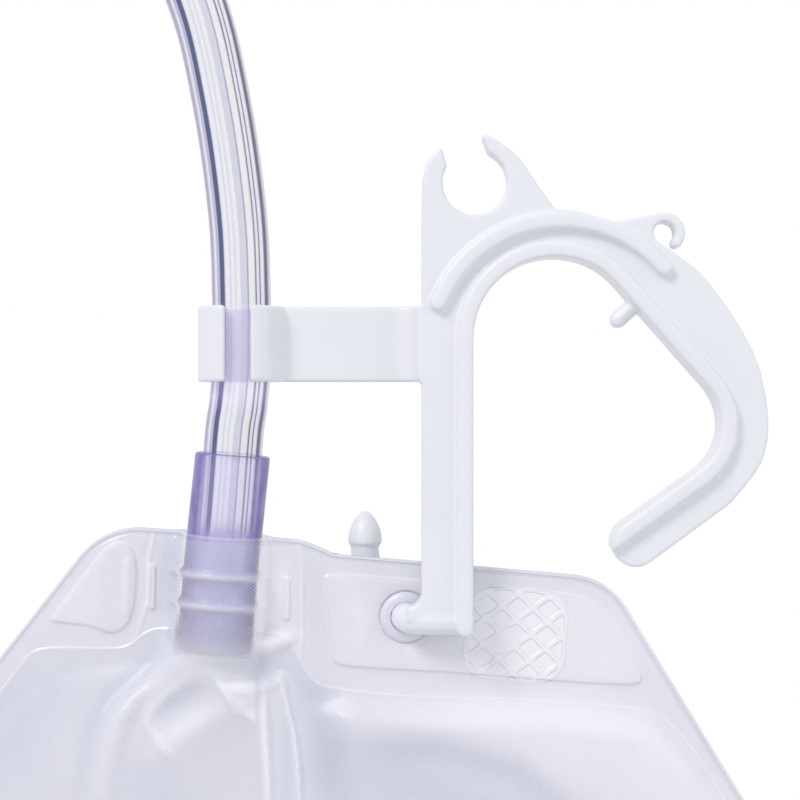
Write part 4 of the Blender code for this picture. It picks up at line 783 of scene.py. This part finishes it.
def front_height(u, v):
    """How far the front film stands off the middle plane, and what it shows."""
    chamber = depth_in(u, v, CHAMBER)
    left = depth_in(u, v, LEFT_POCKET)
    right = depth_in(u, v, RIGHT_POCKET)
    dome = filled_dome(u, v, FRONT_RISE)
    barbs = sum(BARB_RISE * np.exp(-((v - barb) / 0.7) ** 2) for barb in BARBS_V)
    neck = sleeve_height(u, v, SLEEVE_FILM_R + np.where(v > -19.0, barbs, 0))
    merge = 0.001 + 2.4 * ease(chamber, 0, 6.0)
    height = np.maximum(dome, neck) + np.clip(merge - np.abs(dome - neck), 0, None) ** 2 / (4 * merge)
    relief, painted_light_and_shade = folded(u, v, FOLDS, FOLD_GAIN)
    height = np.maximum(height + relief, 0.02)
    height += POCKET_RISE * ease(left, -0.8, 0.8) + POCKET_RISE * ease(right, -0.8, 0.8)
    height += TONGUE_RISE * ease(depth_in(u, v, TONGUE), -0.3, 0.5)
    height += BAR_RISE * ease(bar_depth(u, v), -0.35, 0.35)
    from_eyelet = np.hypot(u - EYELET[0], v - EYELET[1])
    height -= POCKET_RISE * (1 - ease(from_eyelet, 4.6, 5.6)) * ease(right, -0.5, 0.5)
    square = (np.abs(u - LATTICE_PLACE[0]) / LATTICE_HALF[0]) ** LATTICE_POWER
    square += (np.abs(v - LATTICE_PLACE[1]) / LATTICE_HALF[1]) ** LATTICE_POWER
    across = (u - LATTICE_NODE[0]) / LATTICE_CELL[0]
    up = (v - LATTICE_NODE[1]) / LATTICE_CELL[1]
    from_spot = np.hypot(u - LATTICE_SPOT[0], v - LATTICE_SPOT[1])
    in_lattice = ease(1.10 - square, 0, 0.1) * ease(right, -0.9, -0.4)
    edge = np.maximum(np.maximum(chamber, right), np.maximum(left, bar_depth(u, v)))
    edge = np.minimum(edge, from_eyelet - 4.45)
    hatched = np.where(chamber > 0, 0.68, 1.0) * (1 - in_lattice)
    hatched *= 1 - ease(depth_in(u, v, TONGUE), -0.2, 0.1) * (bar_depth(u, v) < 0)
    from_inlet = np.abs(u - INLET_U)
    touching = 0.45 * ease(v, SLEEVE_END_V - 0.5, SLEEVE_END_V + 0.4) + 0.55 * ease(v, -19.0, -14.0)
    touching *= 1 - 0.5 * np.clip(barbs / BARB_RISE, 0, 1)
    touching *= ease(7.0 - from_inlet, 0, 0.7)
    # Beside the sleeve: painted light on its right side and painted shade on its left.
    painted_light_and_shade_by_sleeve = ease(from_inlet, 6.2, 7.0) * ease(8.6 - from_inlet, 0, 0.8) * ease(v, -19.0, -16.0)
    painted_light_and_shade_by_sleeve *= np.where(u > INLET_U, 0.5, -0.5)
    facet = depth_in(u, v, FACET)
    # Painted shade over the chamber, less to the right and none on the facet or the connector.
    painted_chamber_shade = 0.55 * ease(chamber, -0.2, 0.4) * (1 - ease(facet, -0.3, 0.5)) * (1 - 0.6 * ease(u, 0, 24))
    # The facet under the sleeve gets a painted highlight.
    painted_light_and_shade += 0.9 * ease(facet, -0.3, 0.5) + painted_light_and_shade_by_sleeve - painted_chamber_shade * (1 - ease(touching, 0.02, 0.3))
    # The lattice's spot is lightened as much as the lattice round it.
    painted_light_and_shade += 0.8 * in_lattice * (1 - ease(from_spot, 1.8, 2.1))
    return height, {
        "edge": edge,
        "hatched": hatched,
        "painted_light_and_shade": painted_light_and_shade,
        "touching": touching,
        "lattice": in_lattice * ease(from_spot, 1.8, 2.1),
        "lattice_reach": square ** (1 / LATTICE_POWER),
        "lattice_a": across + up,
        "lattice_b": across - up,
        "rim": depth_in(u, v, CUT_OUTLINE),
    }


def back_height(u, v):
    """The same for the back film, which is plainer."""
    chamber = depth_in(u, v, CHAMBER)
    dome = filled_dome(u, v, BACK_RISE)
    relief, painted_light_and_shade = folded(u, v, BACK_FOLDS, 1)
    height = np.maximum(dome, sleeve_height(u, v, np.full(u.shape, 7.7))) + relief * ease(chamber, 0, 6)
    pocket = np.maximum(depth_in(u, v, LEFT_POCKET), depth_in(u, v, RIGHT_POCKET))
    touching = ease(v, -18.0, -11.5) * ease(9.4 - np.abs(u - INLET_U), 0, 1.6)
    return height, {
        "edge": np.maximum(chamber, pocket),
        "hatched": np.ones(u.shape),
        "painted_light_and_shade": painted_light_and_shade,
        "touching": touching,
        "rim": depth_in(u, v, CUT_OUTLINE),
    }


def port_height(u, v, radius):
    """The film drawn over the drain's port at the bottom edge."""
    share = np.abs(u) / radius
    arch = np.where(share < 0.93, np.sqrt(np.clip(1 - share ** 2, 0, 1)),
                    0.3676 * np.clip((1.1 - share) / 0.17, 0, 1))
    return radius * arch * ease(-262 - v, 0, 6)


def film_piece(name, side, heights, columns, rows, zones, material):
    """One film wall: side is -1 for the front and 1 for the back."""
    mesh = cut_sheet(columns, rows, zones)
    from_eyelet = {vert: Vector((vert.co.x - EYELET[0], 0, vert.co.z - EYELET[1])) for vert in mesh.verts}
    hole = [vert for vert, away in from_eyelet.items() if away.length < HOLE_R - 0.15]
    bmesh.ops.delete(mesh, geom=hole, context="VERTS")
    for vert in mesh.verts:
        away = from_eyelet[vert]
        if vert.is_boundary and away.length < HOLE_R + 0.95:
            vert.co += away.normalized() * (HOLE_R - away.length)
    u = np.array([vert.co.x for vert in mesh.verts])
    v = np.array([vert.co.z for vert in mesh.verts])
    height, shown = heights(u, v)
    height = np.maximum(height, port_height(u, v, PORT_FILM_R))
    shift = top_shift(u, v)
    for k, vert in enumerate(mesh.verts):
        vert.co = (u[k], side * (FILM_GAP + FILM + height[k]), v[k] + shift[k])
    for attribute, values in shown.items():
        layer = mesh.verts.layers.float.new(attribute)
        for k, vert in enumerate(mesh.verts):
            vert[layer] = values[k]
    moved, _ = drawn_out(mesh, [edge for edge in mesh.edges if edge.is_boundary])
    bmesh.ops.translate(mesh, verts=moved, vec=(0, -side * FILM, 0))
    bmesh.ops.transform(mesh, matrix=HUNG, verts=mesh.verts)
    bmesh.ops.recalc_face_normals(mesh, faces=mesh.faces)
    middle = max(mesh.faces, key=lambda face: face.calc_area())
    if middle.normal.y * side < 0:
        bmesh.ops.reverse_faces(mesh, faces=mesh.faces)
    sharpen(mesh, 50)
    return show(name, mesh, material)


def read_attribute(tree, name):
    """A value kept at the mesh's points; gives its output socket."""
    node = tree.nodes.new("ShaderNodeAttribute")
    node.attribute_name = name
    return node.outputs["Fac"]


crosshatch = bpy.data.node_groups.new("crosshatch", "ShaderNodeTree")
crosshatch.interface.new_socket("Vector", in_out="INPUT", socket_type="NodeSocketVector")
crosshatch.interface.new_socket("Lines per metre", in_out="INPUT", socket_type="NodeSocketFloat")
crosshatch.interface.new_socket("Height", in_out="OUTPUT", socket_type="NodeSocketFloat")
entry = crosshatch.nodes.new("NodeGroupInput")
leave = crosshatch.nodes.new("NodeGroupOutput")
axes = put(crosshatch, "ShaderNodeSeparateXYZ", {0: entry.outputs["Vector"]}).outputs
pace = reckon(crosshatch, "MULTIPLY", entry.outputs["Lines per metre"], math.tau)
waves = [reckon(crosshatch, "SINE", reckon(crosshatch, "MULTIPLY", axes[axis], pace)) for axis in ("X", "Z")]
crossed = reckon(crosshatch, "MAXIMUM", *waves)
feed(crosshatch, leave, {"Height": reckon(crosshatch, "MULTIPLY_ADD", crossed, 0.5, 0.5)})


def film_material(name, with_lattice):
    """Frosted film: crosshatched pockets, smooth welds, painted light and shade along its folds and painted
    highlights on its embossed edges.
    """
    material, tree, shader = new_material(name, {"IOR": 1.5})

    def times(first, second):
        return reckon(tree, "MULTIPLY", first, second)

    def plus(share, factor, rest):
        return reckon(tree, "MULTIPLY_ADD", share, factor, rest)

    def band(value, start, middle, end):
        return times(eased(tree, value, start, middle), eased(tree, value, end, middle))

    turn = tree.nodes.new("ShaderNodeMapping")
    turn.vector_type = "TEXTURE"
    feed(tree, turn, {"Vector": object_place(tree), "Location": PIVOT,
                      "Rotation": (0, BAG_TILT + math.radians(45), 0)})
    pattern = tree.nodes.new("ShaderNodeGroup")
    pattern.node_tree = crosshatch
    feed(tree, pattern, {"Vector": turn.outputs[0], "Lines per metre": 1 / HATCH_PITCH})
    edge = read_attribute(tree, "edge")
    touching = read_attribute(tree, "touching")
    hatched = times(read_attribute(tree, "hatched"), eased(tree, edge, 0.0, 0.45))
    hatched = reckon(tree, "MAXIMUM", hatched, eased(tree, touching, 0.1, 0.5))
    ridges = times(pattern.outputs["Height"], hatched)

    apart = eased(tree, touching, 0.25, 0.05)
    pressed = times(times(eased(tree, edge, -0.28, 0.28), 0.20), apart)
    rim = read_attribute(tree, "rim")
    groove = times(eased(tree, rim, 0.35, 0.75), eased(tree, rim, 1.30, 0.85))
    pressed = plus(groove, -0.16, pressed)
    # A painted highlight along the embossed edges, away from the connector.
    painted_edge_highlight = times(band(edge, -0.30, -0.04, 0.22), apart)
    # Whiteness starts from the painted light and shade, then takes in the crosshatch, the weld tones and the
    # painted highlights.
    whiteness = plus(read_attribute(tree, "painted_light_and_shade"), 0.34, 0.75)
    for mask, gain in ((ridges, -0.50), (hatched, 0.44), (painted_edge_highlight, 0.28), (groove, -0.14)):
        whiteness = plus(mask, gain, whiteness)
    if with_lattice:
        sides = []
        for axis in ("lattice_a", "lattice_b"):
            away = reckon(tree, "PINGPONG", read_attribute(tree, axis), 0.5)
            sides.append(reckon(tree, "POWER", plus(away, -2.0, 1.0), 7.0))
        cell = reckon(tree, "POWER", reckon(tree, "ADD", *sides), 1 / 7)
        border = eased(tree, read_attribute(tree, "lattice_reach"), 0.84, 1.0)
        cell = reckon(tree, "MAXIMUM", cell, border)
        lattice = read_attribute(tree, "lattice")
        pressed = plus(times(eased(tree, cell, 0.68, 0.86), lattice), 0.15, pressed)
        # The lattice is lighter, with a painted highlight along the flanks of its ribs.
        painted_rib_highlight = times(band(cell, 0.64, 0.76, 0.88), lattice)
        whiteness = plus(painted_rib_highlight, 0.30, plus(lattice, 0.30, whiteness))

    wavy = bump(tree, noise(tree, 150, 3), 0.00035, 0.30)
    embossed = bump(tree, pressed, 0.001, 1.0, wavy)
    slant = put(tree, "ShaderNodeLayerWeight", {"Blend": 0.3}).outputs["Facing"]
    clear = times(plus(ridges, -0.34, 0.78), touching)
    feed(tree, shader, {
        "Base Color": mix_colours(tree, whiteness, (0.44, 0.45, 0.61, 1), (0.95, 0.955, 1.0, 1)),
        "Roughness": plus(hatched, 0.14, 0.25),
        "Alpha": reckon(tree, "SUBTRACT", plus(slant, 0.12, 0.86), clear),
        "Normal": bump(tree, ridges, 0.00003, 0.9, embossed),
    })
    return material


front_pvc = film_material("front_film_pvc", True)
back_pvc = film_material("back_film_pvc", False)

front_columns = graded([(-105, -62, 1.7), (-62, -38.4, 0.72), (-38.4, -35.4, 0.25), (-35.4, -12.2, 0.66),
                        (-12.2, -9.2, 0.25), (-9.2, 68, 0.72), (68, 105, 1.7)])
front_rows = graded([(-288, -80, 2.4), (-80, -46, 1.2), (-46, 1.6, 0.72)])
front_film = film_piece("front_film_sheet", -1, front_height, front_columns, front_rows,
                        front_fine_zones, front_pvc)
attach(front_film, "bag")
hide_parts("front_film")

back_columns = graded([(-105, 105, 1.5)])
back_rows = graded([(-288, -80, 2.4), (-80, 1.6, 1.3)])
back_film = film_piece("back_film_sheet", 1, back_height, back_columns, back_rows, None, back_pvc)
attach(back_film, "bag")
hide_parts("back_film")


def bag_axis(v, u=INLET_U):
    """A point on a fitting's axis in the bag's frame."""
    return HUNG @ Vector((u, 0, v))


BAG_UP = (HUNG.to_3x3() @ Vector((0, 0, 1))).normalized()

# Eyelet: a moulded ring through both films. The hanger's foot runs in it.
eyelet_profile = [(2.53, 1.2), (2.6, 1.28), (2.8, 1.3), (3.4, 1.28), (3.9, 1.1), (4.2, 0.85), (4.3, 0.66),
                  (4.2, 0.6), (3.3, 0.57), (3.3, -0.57), (4.2, -0.6), (4.3, -0.66), (4.2, -0.85), (3.9, -1.1),
                  (3.4, -1.28), (2.8, -1.3), (2.6, -1.28), (2.53, -1.2), (2.53, 1.2)]
eyelet_mesh = spin_profile(eyelet_profile, HUNG @ Vector((EYELET[0], 0, EYELET[1])), (0, -1, 0), 48)
eyelet_pvc, tree, shader = new_material("frosted_eyelet_pvc", {"Roughness": 0.25})
eyelet_tones = [(0.3, (0.70, 0.70, 0.80)), (0.7, (0.78, 0.78, 0.88))]
feed(tree, shader, {"Base Color": ramp(tree, noise(tree, 320), eyelet_tones)})
eyelet = show("eyelet_ring", sharpen(eyelet_mesh, 40), eyelet_pvc)
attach(eyelet, "bag")
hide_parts("eyelet_grommet")


# Inlet connector: a soft violet sleeve with two barb rings. The tube fills its
# socket, and the films are welded over it. Its wall is one surface, clear down
# to SOLID_FROM_Z and denser below, where the moulding is solid.
SOLID_FROM_Z = -0.0435
SOLID_OVER = 0.006
LEAN = 0.5 * MM
SLEEVE_TOP = 15.1
connector_pvc, tree, shader = new_material("violet_connector_pvc", {"Roughness": 0.22, "IOR": 1.5})
slant = put(tree, "ShaderNodeLayerWeight", {"Blend": 0.42}).outputs["Facing"]
tint = ramp(tree, slant, [(0.0, (0.50, 0.47, 0.80)), (0.12, (0.46, 0.43, 0.76)), (0.25, (0.31, 0.27, 0.60)),
                          (0.38, (0.19, 0.15, 0.47)), (0.62, (0.13, 0.10, 0.37))])
speck = noise(tree, 420, 3)
fleck = put(tree, "ShaderNodeMapRange", {"Value": speck, "From Min": 0.45, "From Max": 0.8, "To Max": 0.25})
height = put(tree, "ShaderNodeSeparateXYZ", {0: object_place(tree)}).outputs["Z"]
wall = put(tree, "ShaderNodeMix", {
    "Factor": eased(tree, height, SOLID_FROM_Z, SOLID_FROM_Z - SOLID_OVER),
    "A": reckon(tree, "MULTIPLY_ADD", eased(tree, slant, 0.12, 0.46), 0.82, 0.10),
    "B": reckon(tree, "MULTIPLY_ADD", slant, 0.04, 0.94),
})
feed(tree, shader, {
    "Base Color": mix_colours(tree, fleck.outputs[0], tint, (0.70, 0.69, 0.88, 1)),
    "Alpha": wall.outputs["Result"],
    "Normal": bump(tree, speck, 0.00012, 0.15),
})

sleeve_profile = [(5.02, 15.1), (5.9, 15.1), (6.25, 14.95), (6.4, 14.6), (6.4, -4.2), (6.62, -4.55),
                  (6.95, -4.95), (7.1, -5.3), (6.95, -5.65), (6.62, -6.05), (6.4, -6.4), (6.4, -9.3),
                  (6.62, -9.65), (6.95, -10.05), (7.1, -10.4), (6.95, -10.75), (6.62, -11.15), (6.4, -11.5),
                  (6.4, -18), (6.2, -18.3), (5.9, -18.4), (3.5, -18.4), (3.5, -4.3), (5.02, -4.3)]
sleeve_mesh = spin_profile(sleeve_profile, bag_axis(0), BAG_UP)
for vert in sleeve_mesh.verts:
    above = max(0.0, (vert.co.z - bag_axis(0).z) / (SLEEVE_TOP * MM))
    vert.co.x += LEAN * above * above
sleeve = show("inlet_connector_sleeve", sharpen(sleeve_mesh, 50), connector_pvc)
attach(sleeve, "bag")
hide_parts("inlet_connector")


# Non-return valve: two soft films that hang from the connector's bottom and
# lie flat against each other lower down.
VALVE_R = 6.75
VALVE_LIP = 0.55
VALVE_TOP_V = -13.4
VALVE_LENGTH = 36
valve_pvc, tree, shader = new_material("valve_film_pvc", {"Roughness": 0.25})
valve_tones = [(0.3, (0.84, 0.85, 0.92)), (0.7, (0.92, 0.92, 0.96))]
slant = put(tree, "ShaderNodeLayerWeight", {"Blend": 0.3}).outputs["Facing"]
feed(tree, shader, {"Base Color": ramp(tree, noise(tree, 160), valve_tones),
                    "Alpha": reckon(tree, "MULTIPLY_ADD", slant, 0.20, 0.06)})


def valve_sheet(name, side, node):
    """One sheet: half round at its top, nearly flat at its lower end."""
    mesh = bmesh.new()
    bmesh.ops.create_grid(mesh, x_segments=28, y_segments=36, size=0.5)
    for vert in mesh.verts:
        across = vert.co.x + 0.5
        down = 0.5 - vert.co.y
        settle = float(ease(np.array(down), 0.14, 0.85))
        depth = VALVE_R + (VALVE_LIP - VALVE_R) * settle
        width = VALVE_R + VALVE_R * (math.pi / 2 - 1) * settle
        angle = math.radians(3 + 174 * across)
        vert.co = (INLET_U + width * math.cos(angle), side * depth * math.sin(angle),
                   VALVE_TOP_V - VALVE_LENGTH * down)
    bmesh.ops.transform(mesh, matrix=HUNG, verts=mesh.verts)
    bmesh.ops.recalc_face_normals(mesh, faces=mesh.faces)
    if sum(face.normal.y for face in mesh.faces) * side < 0:
        bmesh.ops.reverse_faces(mesh, faces=mesh.faces)
    sheet = show(name, mesh, valve_pvc)
    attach(sheet, "bag")
    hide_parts(node)


valve_sheet("valve_sheet_front", -1, "valve_film_front")
valve_sheet("valve_sheet_back", 1, "valve_film_back")


# Drain: a clear port welded between the films, a short length of clear tube
# and the push-pull valve, with a blue body and a white plunger.
PORT_TOP_V = -268
DRAIN_TUBE_R = 5.9 * MM
port_profile = [(3, 0), (4.2, 0), (4.45, -0.3), (4.5, -21.5), (6.4, -21.6), (6.7, -21.9), (6.7, -23.2),
                (6.4, -23.5), (4.5, -23.5), (4.5, -37.6), (4.3, -38), (3, -38), (3, 0)]
port_mesh = spin_profile(port_profile, bag_axis(PORT_TOP_V, 0), BAG_UP)
port = show("outlet_port_turned", sharpen(port_mesh, 40), clear_cap)
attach(port, "bag")
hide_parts("outlet_port")

drain_line = [bag_axis(v, 0) for v in np.linspace(-294, -336, 20)]
drain_mesh = tube_mesh(drain_line, DRAIN_TUBE_R, 48)
drain_tube = show("drain_tube_run", drain_mesh, tube_pvc)
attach(drain_tube, "bag")
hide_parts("drain_tube")

valve_blue, tree, shader = new_material("blue_valve_plastic", {"Roughness": 0.35})
blue_tones = [(0.35, (0.16, 0.30, 0.62)), (0.65, (0.19, 0.34, 0.67))]
feed(tree, shader, {"Base Color": ramp(tree, noise(tree, 120), blue_tones),
                    "Normal": bump(tree, noise(tree, 1400), 0.00002, 0.25)})

valve_body = softened_copy("drain_valve_body", "drain_valve_moulding", 0.30 * MM, 4, valve_blue)
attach(valve_body, "bag")
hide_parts("drain_valve_body")

plunger = softened_copy("drain_plunger", "drain_plunger_moulding", 0.30 * MM, 3, moulding)
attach(plunger, "plunger")
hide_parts("drain_plunger")

seal_rubber, tree, shader = new_material("black_seal_rubber", {"Base Color": (0.02, 0.02, 0.022, 1)})
dusty = put(tree, "ShaderNodeMapRange", {"Value": noise(tree, 700), "To Min": 0.45, "To Max": 0.75})
feed(tree, shader, {"Roughness": dusty.outputs[0]})
for node in ("plunger_seal_1", "plunger_seal_2", "plunger_seal_3"):
    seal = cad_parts[node]
    seal.data.materials.clear()
    seal.data.materials.append(seal_rubber)
